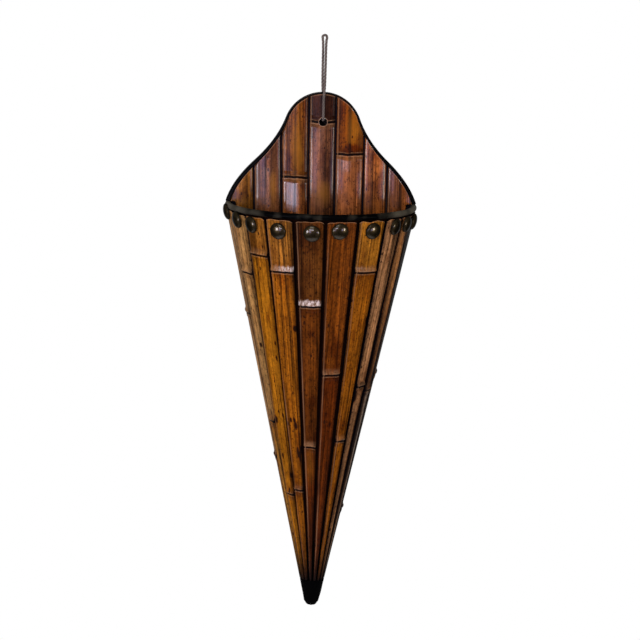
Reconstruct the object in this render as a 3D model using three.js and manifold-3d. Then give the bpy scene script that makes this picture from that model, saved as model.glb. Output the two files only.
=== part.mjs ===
// Half-cone wall pocket in split bamboo: a slatted back panel with an ogee top, ten tapered strips nailed
// round a rim hoop over a black lining, a black wooden tip, and a cord loop to hang it by.
// Millimetres, +Z up. The front faces -Y, the back of the board lies in y = 0, and z = 0 is the rim.
import * as THREE from "three";
import { mergeVertices } from "three/addons/utils/BufferGeometryUtils.js";
import Module from "manifold-3d";

const kernel = await Module();
kernel.setup();

// Overall form
const RIM_R = 77; // radius of the half cone over its strips, at the rim
const TIP_R = 5.2; // the same radius at the very tip
const PEAK_Z = 90.4; // top of the crown, above the rim
const TIP_Z = -337; // end of the tip, below the rim
const FIT = 0.3; // glue line or clearance between neighbouring pieces

// Back panel: its outline is a round crown, a hollow sweep and a round shoulder
const BOARD_T = 5;
const BOARD_INSET = 1; // the board's lower edges stand this far inside the strips
const CROWN_R = 31.5;
const CROWN_DEG = 69.5; // how far the crown's arc runs to each side of the peak
const SWEEP_DEG = 46.7; // slant from upright where the hollow sweep turns into the shoulder
const SWEEP_SHARE = 0.51; // where that turn lies between the crown's end and the rim corner
const CORNER_DEG = 18; // slant from upright at the rim corner
const BIND_CORNER = 3.2; // width of the black binding at the rim corners
const BIND_CROWN = 1; // and on the crown
const HOLE_R = 3.1; // the cord's hole
const HOLE_Z = 67;

// Split bamboo
const CULM_R = 55; // radius of the cane that slats and strips are split from
const EDGE_EASE = 0.5; // rounding of a lath's long edges
const NODE_RISE = 1.1; // how far a joint's ridge stands out
const NODE_REACH = 4.5; // how far the swelling runs above and below the joint

// Slats of the back panel, left to right
const SLAT_T = 3.4;
const SLAT_GAP = 1.5;
// Where one slat meets the next, as a share of the panel's half width: at the rim and at the peak
const SLAT_SEAM_SHARES = [
  [-0.703, -0.733], [-0.414, -0.441], [-0.137, -0.151], [0.14, 0.136], [0.436, 0.438], [0.689, 0.683],
];
const SLAT_NODES = [[-22], [-38, -160], [22.6, -99], [66.7, -55, -177], [41.4, -81, -203], [-60], [-30]];

// Strips of the half cone, left to right
const STRIP_T = 3.2;
const STRIP_TIP_T = 2; // the strips thin down to this at their lower ends
const STRIP_END_Z = -313;
// Where one strip meets the next: the angle from straight ahead at the rim and at the lower end, and the
// open gap at the rim, halfway down and at the lower end. The strips are cut by hand and each tapers in
// its own way.
const SEAM_DEG = [
  [-69.5, -76], [-53.3, -62.9], [-37.2, -39.7], [-18.2, -19.1], [0.8, 0.6], [20.5, 22], [40.2, 39.4],
  [55.6, 55], [66, 76],
];
const SEAM_GAPS = [
  [0.9, 0.7, 0.5], [1.9, 0.8, 0.6], [2.2, 0.6, 0.5], [2.6, 1.9, 1.3], [2.3, 2.2, 1.1], [2.4, 3, 1.1],
  [2.8, 2.9, 1], [2.6, 4, 1], [2, 1.6, 0.5],
];
const STRIP_NODES = [
  [-87, -207.7], [-51, -175], [-34, -236.3], [-45.4, -231], [-72.3, -192],
  [-129.5], [-45, -187.4], [-142], [-147.2], [-136.3, -251.4],
];

// Rim and lining
const LINER_T = 1.2;
const HOOP_T = 3.5;
const HOOP_H = 18;
const TRIM_H = 4.6; // the round cane on top of the rim
const SPIGOT_H = 36; // how far the tip block goes up inside the strips

// Dome nails, one to a strip, each driven by eye
const NAIL_R = 6.4;
const NAIL_H = 3.6; // height of the dome
const NAIL_SHANK_R = 0.9;
const NAIL_SHANK_L = 7.4;
const NAIL_DROPS = [4.4, 8, 9.5, 12.2, 12.5, 10.5, 11, 9.2, 8.8, 8.9]; // below the rim
const NAIL_SHIFTS = [1.4, 0, -2, -0.6, 1.9, -1.9, 0.2, -0.6, -0.2, -6]; // along the strip's width

// Hanging cord
const CORD_D = 2.1;
const LOOP_RISE = 46; // top of the loop above the crown
const LOOP_R = 1.75; // bend round the wall nail, to the cord's middle

// Steps of the curves
const ARC_STEPS = 30; // round the half cone
const CROWN_STEPS = 9;
const SWEEP_STEPS = 6;
const CORD_STEPS = 70;
const CORD_SIDES = 8;

// Values that follow from the ones above
const AXIS_Y = -(BOARD_T + FIT); // the cone's axis, a glue line in front of the board
const CONE_SLOPE = (RIM_R - TIP_R) / -TIP_Z;
const RIM_TOP_Z = -TRIM_H / 2 - FIT; // top ends of strips, lining and hoop, under the trim
const CORNER_Z = TRIM_H / 2 + FIT; // the binding starts on top of the trim's ends
const SPIGOT_TOP_Z = STRIP_END_Z + SPIGOT_H;
const SLAT_FRONT_Y = AXIS_Y - SLAT_T;
const radians = THREE.MathUtils.degToRad;
const lerp = THREE.MathUtils.lerp;

// Radii of the pocket's layers at a height, from the outside in
const coneR = (z) => RIM_R + CONE_SLOPE * z;
const stripThick = (z) => lerp(STRIP_T, STRIP_TIP_T, z / STRIP_END_Z);
const stripIn = (z) => coneR(z) - stripThick(z);
const linerOut = (z) => stripIn(z) - FIT;
const linerIn = (z) => linerOut(z) - LINER_T;
const hoopOut = (z) => linerIn(z) - FIT;
const hoopIn = (z) => hoopOut(z) - HOOP_T;

// A closed solid through rings of equally many [x, y, z] points, with a flat cap on each end.
function loft(rings) {
  const count = rings[0].length;
  const index = [];
  for (let r = 0; r + 1 < rings.length; r++) {
    for (let i = 0; i < count; i++) {
      const a = r * count + i;
      const b = r * count + ((i + 1) % count);
      index.push(a, b, b + count, a, b + count, a + count);
    }
  }
  const last = (rings.length - 1) * count;
  for (let i = 1; i + 1 < count; i++) {
    index.push(0, i + 1, i, last, last + i, last + i + 1);
  }
  const geometry = new THREE.BufferGeometry();
  geometry.setAttribute("position", new THREE.Float32BufferAttribute(rings.flat(2), 3));
  geometry.setIndex(index);
  return facingOut(geometry);
}

// The same geometry with its faces turned outwards.
function facingOut(geometry) {
  const p = geometry.getAttribute("position");
  const order = geometry.index.array;
  const [a, b, c] = [new THREE.Vector3(), new THREE.Vector3(), new THREE.Vector3()];
  let volume = 0;
  for (let i = 0; i < order.length; i += 3) {
    a.fromBufferAttribute(p, order[i]);
    b.fromBufferAttribute(p, order[i + 1]);
    c.fromBufferAttribute(p, order[i + 2]);
    volume += a.dot(b.cross(c));
  }
  if (volume < 0) {
    for (let i = 0; i < order.length; i += 3) {
      const second = order[i + 1];
      order[i + 1] = order[i + 2];
      order[i + 2] = second;
    }
  }
  return geometry;
}

// A solid turned about Z from [radius, height] pairs.
function turned(profile, sides) {
  return loft(profile.map(([r, z]) => {
    return Array.from({ length: sides }, (_, i) => {
      const turn = (2 * Math.PI * i) / sides;
      return [r * Math.cos(turn), r * Math.sin(turn), z];
    });
  }));
}

// Geometry to solid and back, for cuts.
function solidOf(geometry) {
  const bare = new THREE.BufferGeometry();
  bare.setAttribute("position", geometry.getAttribute("position").clone());
  bare.setIndex(geometry.index);
  const merged = mergeVertices(bare, 1e-4);
  return new kernel.Manifold(new kernel.Mesh({
    numProp: 3,
    vertProperties: merged.getAttribute("position").array,
    triVerts: new Uint32Array(merged.index.array),
  }));
}

function geometryOf(solid) {
  const mesh = solid.getMesh();
  const geometry = new THREE.BufferGeometry();
  geometry.setAttribute("position", new THREE.Float32BufferAttribute(mesh.vertProperties, 3));
  geometry.setIndex(new THREE.BufferAttribute(mesh.triVerts, 1));
  return geometry;
}

function cut(geometry, cutters) {
  return geometryOf(cutters.reduce((left, cutter) => left.subtract(solidOf(cutter)), solidOf(geometry)));
}

function keepInside(geometry, region) {
  return geometryOf(solidOf(geometry).intersect(solidOf(region)));
}

// A point of the half cone: radius and angle from straight ahead, then a step across along the tangent.
function onCone(r, angle, z, across = 0) {
  return [
    r * Math.sin(angle) + across * Math.cos(angle),
    AXIS_Y - r * Math.cos(angle) + across * Math.sin(angle),
    z,
  ];
}

const arcAngles = Array.from({ length: ARC_STEPS + 1 }, (_, i) => Math.PI * (i / ARC_STEPS - 0.5));

// A section of [radius, z] pairs swept round the half turn, from the board on one side to the other.
function halfTurn(section) {
  return loft(arcAngles.map((angle) => section.map(([r, z]) => onCone(r, angle, z))));
}

// A half disc of the cone at a height.
function halfDisc(r, z) {
  return arcAngles.map((angle) => onCone(r, angle, z));
}

// A split lath's section as [across, out] pairs: flat behind, round in front, with eased edges.
function lathSection(width, thick) {
  const half = width / 2;
  const ease = Math.min(EDGE_EASE, width / 5);
  const face = (u) => thick - (u * u) / (2 * CULM_R);
  const edge = half - ease;
  const front = [1, 0.5, 0, -0.5, -1].map((share) => [share * edge, face(share * edge)]);
  return [[-half, 0], [half, 0], [half, face(half) - ease], ...front, [-half, face(half) - ease]];
}

// Heights along a lath with the ridge at each: its two ends, and at every joint a long swell that drops
// into a narrow groove. side is 1 with the swell above the groove and -1 with it below.
const NODE_PROFILE = [[1, 0], [0.3, 1], [0.08, 0.9], [-0.08, 0.1], [-0.35, 0.5], [-1, 0]];
function lathStations(top, bottom, nodes, side) {
  const swells = nodes.flatMap((node) => {
    return NODE_PROFILE.map(([reach, rise]) => [node + side * reach * NODE_REACH, rise * NODE_RISE]);
  });
  const inside = swells.filter(([z]) => z < top - FIT && z > bottom + FIT);
  return [[top, 0], ...inside, [bottom, 0]].sort((a, b) => b[0] - a[0]);
}

// Outline of the crown, right half, from the rim corner up to the peak, with outward normals and the
// binding's width at each point.
function crownOutline() {
  const crownEnd = radians(CROWN_DEG);
  const corner = new THREE.Vector2(coneR(CORNER_Z) - BOARD_INSET, CORNER_Z);
  const neck = new THREE.Vector2(
    CROWN_R * Math.sin(crownEnd),
    PEAK_Z - CROWN_R * (1 - Math.cos(crownEnd)),
  );
  const turn = corner.clone().lerp(neck, 1 - SWEEP_SHARE);
  const slant = (deg) => new THREE.Vector2(-Math.sin(radians(deg)), Math.cos(radians(deg)));
  const bend = (from, fromDeg, to, toDeg) => {
    const reach = from.distanceTo(to) / 3;
    const leave = slant(fromDeg).multiplyScalar(reach).add(from);
    const arrive = slant(toDeg).multiplyScalar(-reach).add(to);
    return new THREE.CubicBezierCurve(from, leave, arrive, to);
  };
  const points = [];
  const add = (x, z, along) => points.push({ x, z, nx: along.y, nz: -along.x });
  const curves = [bend(corner, CORNER_DEG, turn, SWEEP_DEG), bend(turn, SWEEP_DEG, neck, 90 - CROWN_DEG)];
  for (const curve of curves) {
    for (let i = 0; i < SWEEP_STEPS; i++) {
      const p = curve.getPoint(i / SWEEP_STEPS);
      add(p.x, p.y, curve.getTangent(i / SWEEP_STEPS));
    }
  }
  for (let i = 0; i <= CROWN_STEPS; i++) {
    const angle = crownEnd * (1 - i / CROWN_STEPS);
    points.push({
      x: CROWN_R * Math.sin(angle),
      z: PEAK_Z - CROWN_R * (1 - Math.cos(angle)),
      nx: Math.sin(angle),
      nz: Math.cos(angle),
    });
  }
  Object.assign(points[0], { nx: 1, nz: 0 }); // cut level where the binding stands on the rim trim
  const steps = points.length - 1;
  return points.map((p, i) => ({ ...p, width: lerp(BIND_CORNER, BIND_CROWN, i / steps) }));
}

const outline = crownOutline();

// Rows of [half-width, z] of the panel's field, a glue line inside the binding.
function fieldRows() {
  const rows = outline.slice(0, -1).map((p) => {
    return [p.x - p.nx * (p.width + FIT), p.z - p.nz * (p.width + FIT)];
  });
  rows.push([CROWN_R * Math.sin(radians(1)), PEAK_Z - BIND_CROWN - FIT]);
  return rows;
}

// A flat plate between two depths whose outline is given by rows of [half-width, z].
function plate(rows, frontY, backY) {
  return loft(rows.map(([half, z]) => {
    return [[-half, backY, z], [half, backY, z], [half, frontY, z], [-half, frontY, z]];
  }));
}

// A cylinder along Y through the cord's hole.
function holeCutter() {
  const reach = BOARD_T + SLAT_T + 10;
  const bar = turned([[HOLE_R, -reach], [HOLE_R, reach]], 20);
  return bar.rotateX(Math.PI / 2).translate(0, 0, HOLE_Z);
}

function backBoard() {
  const boardHalf = (z) => coneR(z) - BOARD_INSET;
  const tipEnd = TIP_Z + 1.5;
  const shoulder = CORNER_Z - FIT;
  const lower = [
    [boardHalf(tipEnd) - 1.5, tipEnd],
    [boardHalf(tipEnd + 2), tipEnd + 2],
    [boardHalf(shoulder - FIT), shoulder - FIT],
  ];
  const [first, ...rest] = fieldRows();
  return cut(plate([...lower, [first[0], shoulder], ...rest], -BOARD_T, 0), [holeCutter()]);
}

function edgeBinding() {
  const front = SLAT_FRONT_Y + FIT;
  const left = outline.slice(0, -1).reverse().map((p) => ({ ...p, x: -p.x, nx: -p.nx }));
  return loft([...outline, ...left].map((p) => {
    const at = (inward, y) => [p.x - p.nx * inward, y, p.z - p.nz * inward];
    const ease = p.width / 4;
    return [
      at(0, 0), at(0, front + ease), at(ease, front), at(p.width - ease, front),
      at(p.width, front + ease), at(p.width, 0),
    ];
  }));
}

function backSlats() {
  const inPocket = (z) => hoopIn(z) - FIT;
  const floor = SPIGOT_TOP_Z + FIT;
  const rows = [[inPocket(floor), floor], [inPocket(CORNER_Z - FIT), CORNER_Z - FIT], ...fieldRows()];
  const field = plate(rows, SLAT_FRONT_Y - 2 * NODE_RISE, AXIS_Y + 1);
  const half = outline[0].x;
  const seams = [[-1, -1], ...SLAT_SEAM_SHARES, [1, 1]];
  const seamX = ([atRim, atPeak], z) => half * lerp(atRim, atPeak, z / PEAK_Z);
  return SLAT_NODES.map((nodes, i) => {
    const stations = lathStations(PEAK_Z, SPIGOT_TOP_Z, nodes, -1);
    const lath = loft(stations.map(([z, rise]) => {
      const left = seamX(seams[i], z);
      const right = seamX(seams[i + 1], z);
      const section = lathSection(right - left - SLAT_GAP, SLAT_T + rise);
      return section.map(([u, out]) => [(left + right) / 2 + u, AXIS_Y - out, z]);
    }));
    const slat = keepInside(lath, field);
    const holdsCord = seams[i][0] < 0 && seams[i + 1][0] > 0;
    return holdsCord ? cut(slat, [holeCutter()]) : slat;
  });
}

// A strip at a height: the angle of its middle, its width, and how far unequal gaps push it aside.
const stripSeams = [
  { turn: [-90, -90], gap: [2 * FIT, 2 * FIT, 2 * FIT] },
  ...SEAM_DEG.map((turn, i) => ({ turn, gap: SEAM_GAPS[i] })),
  { turn: [90, 90], gap: [2 * FIT, 2 * FIT, 2 * FIT] },
];
const stripCount = stripSeams.length - 1;
function stripAt(i, z) {
  const share = z / STRIP_END_Z;
  const [left, right] = [stripSeams[i], stripSeams[i + 1]].map(({ turn, gap: [top, half, end] }) => ({
    angle: radians(lerp(...turn, share)),
    gap: share < 0.5 ? lerp(top, half, 2 * share) : lerp(half, end, 2 * share - 1),
  }));
  const reach = stripIn(z) * Math.tan((right.angle - left.angle) / 2);
  return {
    middle: (left.angle + right.angle) / 2,
    width: 2 * reach - (left.gap + right.gap) / 2,
    aside: (left.gap - right.gap) / 4,
  };
}

// Where a nail sits: on its strip's face, square to the slope of the cone.
function nailPlace(i) {
  const z = -NAIL_DROPS[i];
  const { middle } = stripAt(i, z);
  const lean = Math.atan(CONE_SLOPE);
  const out = new THREE.Vector3(
    Math.sin(middle) * Math.cos(lean),
    -Math.cos(middle) * Math.cos(lean),
    -Math.sin(lean),
  );
  const turn = new THREE.Quaternion().setFromUnitVectors(new THREE.Vector3(0, 0, 1), out);
  const point = new THREE.Vector3(...onCone(coneR(z), middle, z, NAIL_SHIFTS[i]));
  return new THREE.Matrix4().compose(point, turn, new THREE.Vector3(1, 1, 1));
}

const nailHoles = NAIL_DROPS.map((_, i) => {
  const r = NAIL_SHANK_R + FIT;
  return turned([[r, -NAIL_SHANK_L - FIT], [r, 2 * STRIP_T]], 8).applyMatrix4(nailPlace(i));
});

function frontStrip(i) {
  const stations = lathStations(RIM_TOP_Z, STRIP_END_Z, STRIP_NODES[i], 1);
  const lath = loft(stations.map(([z, rise]) => {
    const { middle, width, aside } = stripAt(i, z);
    const section = lathSection(width, stripThick(z) + rise);
    return section.map(([u, out]) => onCone(stripIn(z) + out, middle, z, u + aside));
  }));
  return cut(lath, [nailHoles[i]]);
}

function rimNail(i) {
  const skirt = NAIL_H / 8; // upright edge of the dome
  const dome = [0, 0.22, 0.45, 0.66, 0.84].map((share) => {
    const angle = (share * Math.PI) / 2;
    return [NAIL_R * Math.cos(angle), FIT + skirt + (NAIL_H - skirt) * Math.sin(angle)];
  });
  const top = [NAIL_R / 10, FIT + NAIL_H];
  const shank = [[NAIL_SHANK_R / 3, -NAIL_SHANK_L], [NAIL_SHANK_R, 2 - NAIL_SHANK_L], [NAIL_SHANK_R, FIT]];
  return turned([...shank, [NAIL_R, FIT], ...dome, top], 14).applyMatrix4(nailPlace(i));
}

function pocketLiner() {
  const floor = SPIGOT_TOP_Z + FIT;
  const section = [
    [linerOut(RIM_TOP_Z), RIM_TOP_Z], [linerIn(RIM_TOP_Z), RIM_TOP_Z],
    [linerIn(floor), floor], [linerOut(floor), floor],
  ];
  return cut(halfTurn(section), nailHoles);
}

function rimHoop() {
  const bottom = RIM_TOP_Z - HOOP_H;
  const section = [
    [hoopOut(RIM_TOP_Z), RIM_TOP_Z], [hoopIn(RIM_TOP_Z), RIM_TOP_Z],
    [hoopIn(bottom), bottom], [hoopOut(bottom), bottom],
  ];
  return cut(halfTurn(section), nailHoles);
}

function rimTrim() {
  const inner = linerIn(0);
  const middle = (inner + RIM_R) / 2;
  const reach = (RIM_R - inner) / 2;
  const sides = 10;
  const section = Array.from({ length: sides }, (_, i) => {
    const turn = (2 * Math.PI * (i + 0.5)) / sides - Math.PI / 2; // one flat side down, on the strips' ends
    return [middle + reach * Math.cos(turn), (TRIM_H / 2) * Math.sin(turn)];
  });
  return halfTurn(section);
}

function tipBlock() {
  const shoulder = STRIP_END_Z - FIT;
  const tipRound = 0.7 * coneR(TIP_Z);
  return loft([
    halfDisc(linerOut(SPIGOT_TOP_Z), SPIGOT_TOP_Z),
    halfDisc(linerOut(shoulder), shoulder),
    halfDisc(coneR(shoulder - FIT), shoulder - FIT),
    halfDisc(coneR(TIP_Z + tipRound), TIP_Z + tipRound),
    halfDisc(0.88 * coneR(TIP_Z + tipRound / 3), TIP_Z + tipRound / 3),
    halfDisc(0.55 * coneR(TIP_Z), TIP_Z),
  ]);
}

// The cord's middle line: from the knot forward through the hole, up the face, over the wall nail, and
// down behind the board to the knot again.
const FACE_Y = SLAT_FRONT_Y - FIT - CORD_D / 2; // lying on the slats
const BEHIND_Y = CORD_D / 2 + 2 * FIT; // lying along the back of the board
const HOLE_CORD_Z = HOLE_Z + HOLE_R - CORD_D / 2 - 0.5; // drawn up against the top of the hole
const NAIL_Y = (FACE_Y + BEHIND_Y) / 2;
const LOOP_Z = PEAK_Z + LOOP_RISE - LOOP_R - CORD_D / 2; // middle of the bend round the nail
const cordRoute = [
  [0, FIT, HOLE_CORD_Z],
  [0, -BOARD_T / 2, HOLE_CORD_Z],
  [0, -BOARD_T, HOLE_CORD_Z],
  [0, FACE_Y + 1.2, HOLE_CORD_Z + 0.05],
  [0, FACE_Y - 0.6, HOLE_CORD_Z + 0.85],
  [0, FACE_Y - 1.1, HOLE_Z + HOLE_R + 0.9],
  [0, FACE_Y - 0.9, HOLE_Z + HOLE_R + 3.4],
  [0, FACE_Y - 0.3, HOLE_Z + HOLE_R + 8],
  [0, FACE_Y - 0.1, lerp(HOLE_Z + HOLE_R + 8, PEAK_Z, 0.6)],
  [0.55, FACE_Y, PEAK_Z + 3],
  [0.8, lerp(FACE_Y, NAIL_Y, 0.18), lerp(PEAK_Z, LOOP_Z, 0.22)],
  [0.98, lerp(FACE_Y, NAIL_Y, 0.52), lerp(PEAK_Z, LOOP_Z, 0.47)],
  [1.08, lerp(FACE_Y, NAIL_Y, 0.84), lerp(PEAK_Z, LOOP_Z, 0.73)],
  [0.74 * LOOP_R, NAIL_Y, LOOP_Z - 2 * LOOP_R],
  [LOOP_R, NAIL_Y, LOOP_Z],
  [0.7 * LOOP_R, NAIL_Y, LOOP_Z + 0.7 * LOOP_R],
  [0, NAIL_Y, LOOP_Z + LOOP_R],
  [-0.7 * LOOP_R, NAIL_Y, LOOP_Z + 0.7 * LOOP_R],
  [-LOOP_R, NAIL_Y, LOOP_Z],
  [-0.74 * LOOP_R, NAIL_Y, LOOP_Z - 2 * LOOP_R],
  [-1.08, lerp(BEHIND_Y, NAIL_Y, 0.84), lerp(PEAK_Z, LOOP_Z, 0.73)],
  [-0.98, lerp(BEHIND_Y, NAIL_Y, 0.52), lerp(PEAK_Z, LOOP_Z, 0.47)],
  [-0.8, lerp(BEHIND_Y, NAIL_Y, 0.18), lerp(PEAK_Z, LOOP_Z, 0.22)],
  [-0.55, BEHIND_Y, PEAK_Z + 3],
  [0, BEHIND_Y, lerp(HOLE_Z + HOLE_R + 8, PEAK_Z, 0.6)],
  [0, BEHIND_Y, HOLE_Z + HOLE_R + 8],
  [0, BEHIND_Y + 0.4, HOLE_Z + HOLE_R + 3],
  [0, BEHIND_Y + 1.4, HOLE_Z + HOLE_R + 0.5],
];
const KNOT_SIZE = [1.7 * CORD_D, 1.25 * CORD_D, 1.5 * CORD_D]; // half sizes

function hangingCord() {
  const path = new THREE.CatmullRomCurve3(cordRoute.map((p) => new THREE.Vector3(...p)));
  const ring = Array.from({ length: CORD_SIDES }, (_, i) => {
    const turn = (2 * Math.PI * i) / CORD_SIDES;
    return new THREE.Vector2((CORD_D / 2) * Math.cos(turn), (CORD_D / 2) * Math.sin(turn));
  });
  const section = new THREE.Shape(ring);
  const sweep = { steps: CORD_STEPS, extrudePath: path, bevelEnabled: false };
  const tube = new THREE.ExtrudeGeometry(section, sweep);
  tube.deleteAttribute("normal");
  tube.deleteAttribute("uv");
  return facingOut(mergeVertices(tube, 1e-4));
}

function cordKnot() {
  const [wide, deep, high] = KNOT_SIZE;
  const belly = [-0.98, -0.8, -0.45, 0, 0.45, 0.8, 0.98].map((h) => [Math.sqrt(1 - h * h), h]);
  const ball = turned(belly, 12).scale(wide, deep, high);
  return ball.translate(0, deep + 3 * FIT, HOLE_Z);
}

// Assembly
const part = new THREE.Group();

function addPiece(name, geometry, color, roughness, metalness = 0) {
  const mesh = new THREE.Mesh(geometry, new THREE.MeshStandardMaterial({ color, roughness, metalness }));
  mesh.name = name;
  part.add(mesh);
}

const BLACK_LACQUER = 0x0c0a0a;
const ANTIQUE_BRASS = 0x6b5426;
const TWINE = 0x675c55;
const SLAT_COLOURS = [0x6b3d16, 0x734a3b, 0x78441f, 0x5d372b, 0x764019, 0x743f23, 0x5e3519];
const STRIP_COLOURS = [
  0x7a5230, 0x815b36, 0x7b4818, 0x7c4a15, 0x4e280c, 0x52270a, 0x70420f, 0x643f23, 0x592e16, 0x4c2611,
];
const twoDigits = (i) => String(i + 1).padStart(2, "0");

addPiece("back_board", backBoard(), BLACK_LACQUER, 0.6);
backSlats().forEach((slat, i) => addPiece(`back_slat_${i + 1}`, slat, SLAT_COLOURS[i], 0.3));
addPiece("edge_binding", edgeBinding(), BLACK_LACQUER, 0.45);
addPiece("pocket_liner", pocketLiner(), BLACK_LACQUER, 0.7);
addPiece("rim_hoop", rimHoop(), BLACK_LACQUER, 0.7);
for (let i = 0; i < stripCount; i++) {
  addPiece(`front_strip_${twoDigits(i)}`, frontStrip(i), STRIP_COLOURS[i], 0.3);
  addPiece(`rim_nail_${twoDigits(i)}`, rimNail(i), ANTIQUE_BRASS, 0.4, 1);
}
addPiece("rim_trim", rimTrim(), BLACK_LACQUER, 0.4);
addPiece("tip_block", tipBlock(), BLACK_LACQUER, 0.35);
addPiece("hanging_cord", hangingCord(), TWINE, 0.9);
addPiece("cord_knot", cordKnot(), TWINE, 0.9);

export default part;
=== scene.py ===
"""Dresses the CAD model of a half-cone wall pocket in bamboo, brass, black lacquer and twine."""

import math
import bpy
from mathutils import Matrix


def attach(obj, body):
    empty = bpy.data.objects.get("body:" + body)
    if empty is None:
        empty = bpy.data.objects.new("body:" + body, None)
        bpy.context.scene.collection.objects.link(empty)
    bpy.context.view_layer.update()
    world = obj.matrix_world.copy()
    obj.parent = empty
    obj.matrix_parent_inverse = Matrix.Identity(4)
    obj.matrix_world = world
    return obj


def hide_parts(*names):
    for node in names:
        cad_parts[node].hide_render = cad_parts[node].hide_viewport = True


bl_info = {
    "name": "Bamboo wall pocket",
    "version": (1, 0, 0),
    "blender": (4, 5, 0),
    "location": "3D View > Sidebar > Wall pocket",
    "description": "Builds the bamboo, nails, rim, cord and studio of a half-cone wall pocket",
    "category": "Object",
}

import bpy
from bpy.props import FloatProperty, FloatVectorProperty, IntProperty, PointerProperty
from mathutils import Matrix, Vector, noise

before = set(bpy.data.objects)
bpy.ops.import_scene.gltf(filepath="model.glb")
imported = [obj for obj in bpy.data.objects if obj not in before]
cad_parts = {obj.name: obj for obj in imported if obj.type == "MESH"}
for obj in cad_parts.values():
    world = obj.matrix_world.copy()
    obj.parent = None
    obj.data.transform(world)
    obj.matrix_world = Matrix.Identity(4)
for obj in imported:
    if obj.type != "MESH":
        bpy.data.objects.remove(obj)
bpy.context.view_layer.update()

MM = 0.001
POCKET = "pocket"
LOOP = "hanging_loop"


def linear(hex_colour):
    """An sRGB hex colour as linear red, green and blue."""
    shares = [int(hex_colour[i : i + 2], 16) / 255 for i in (1, 3, 5)]
    return tuple(c / 12.92 if c <= 0.04045 else ((c + 0.055) / 1.055) ** 2.4 for c in shares)


# Fixed places on the object, in metres from the rim's centre on the wall

RIM_R = 77 * MM
TIP_R = 5.2 * MM
TIP_Z = -337 * MM
PEAK_Z = 90.4 * MM
FIT = 0.3 * MM
BOARD_T = 5 * MM
BOARD_INSET = 1 * MM
CROWN_R = 31.5 * MM
CROWN_TURN = math.radians(69.5)
SWEEP_TURN = math.radians(46.7)
SWEEP_SHARE = 0.51
CORNER_TURN = math.radians(18)
BIND_CORNER = 3.2 * MM
BIND_CROWN = 1 * MM
HOLE_R = 3.1 * MM
HOLE_Z = 67 * MM
SLAT_T = 3.4 * MM
STRIP_T = 3.2 * MM
STRIP_TIP_T = 2 * MM
STRIP_END_Z = -313 * MM
LINER_T = 1.2 * MM
HOOP_T = 3.5 * MM
HOOP_H = 18 * MM
TRIM_H = 4.6 * MM
SPIGOT_H = 36 * MM
AXIS_Y = -(BOARD_T + FIT)
SLOPE = (RIM_R - TIP_R) / -TIP_Z
THINNING = (STRIP_T - STRIP_TIP_T) / -STRIP_END_Z
RIM_TOP_Z = -TRIM_H / 2 - FIT
CORNER_Z = TRIM_H / 2 + FIT
SPIGOT_TOP_Z = STRIP_END_Z + SPIGOT_H
SLAT_FRONT_Y = AXIS_Y - SLAT_T


def cone_r(z):
    return RIM_R + SLOPE * z


def strip_in(z):
    return cone_r(z) - STRIP_T - THINNING * z


def liner_out(z):
    return strip_in(z) - FIT


def liner_in(z):
    return liner_out(z) - LINER_T


def hoop_out(z):
    return liner_in(z) - FIT


def hoop_in(z):
    return hoop_out(z) - HOOP_T


def lerp(a, b, share):
    return a + (b - a) * share


# Stains of the bamboo, from the palest to the one that is nearly black. The palest is a painted highlight,
# and the nearly black one is painted shade over strip 10, which is turned away from the light

STAINS = {
    # A painted highlight rather than a stain: it lies along strip 9's lower length
    "painted_highlight": "#a89a8a",
    "wheat": "#936c3e",
    "honey": "#885a1e",
    "straw": "#7c5a30",
    "hazel": "#7f5836",
    "ochre": "#804d09",
    "amber": "#76480e",
    "chestnut": "#7a4218",
    "fawn": "#6e4723",
    "tawny": "#6b4111",
    "toffee": "#703d1b",
    "conker": "#6f3c0e",
    "saddle": "#6c3b05",
    "umber": "#5c351d",
    "rust": "#652f02",
    "walnut": "#502604",
    "bole": "#3e2006",
    "peat": "#441b02",
    "loam": "#3f1d03",
    "soot": "#311609",
    # Painted shade rather than a stain: it covers strip 10, which is turned away from the light
    "pitch": "#1a1411",
}

# Laths of the half cone and of the back panel, left to right. A joint is a height below or above the rim,
# in millimetres, and there is one stain more than joints, from the top down.
# A seam of two strips: degrees from straight ahead at the rim and at the lower end, then the gap in
# millimetres at the rim, halfway down and at the lower end.

STRIP_SEAMS = (
    (-90, -90, 0.6, 0.6, 0.6),
    (-69.5, -76, 0.9, 0.7, 0.5),
    (-53.3, -62.9, 1.9, 0.8, 0.6),
    (-37.2, -39.7, 2.2, 0.6, 0.5),
    (-18.2, -19.1, 2.6, 1.9, 1.3),
    (0.8, 0.6, 2.3, 2.2, 1.1),
    (20.5, 22, 2.4, 3, 1.1),
    (40.2, 39.4, 2.8, 2.9, 1),
    (55.6, 55, 2.6, 4, 1),
    (66, 76, 2, 1.6, 0.5),
    (90, 90, 0.6, 0.6, 0.6),
)
STRIP_JOINTS = (
    (-87, -207.7),
    (-51, -175),
    (-34, -236.3),
    (-45.4, -231),
    (-72.3, -192),
    (-129.5,),
    (-45, -187.4),
    (-142,),
    (-147.2,),
    (-136.3, -251.4),
)
STRIP_STAINS = (
    ("wheat", "wheat", "honey"),
    ("straw", "straw", "honey"),
    ("tawny", "ochre", "ochre"),
    ("tawny", "saddle", "saddle"),
    ("bole", "loam", "peat"),
    ("walnut", "peat"),
    ("amber", "saddle", "saddle"),
    ("hazel", "hazel"),
    # Strip 9's lower length has a painted highlight in place of a stain
    ("fawn", "painted_highlight"),
    # Strip 10 is painted shade over its whole length
    ("pitch", "pitch", "pitch"),
)
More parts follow.
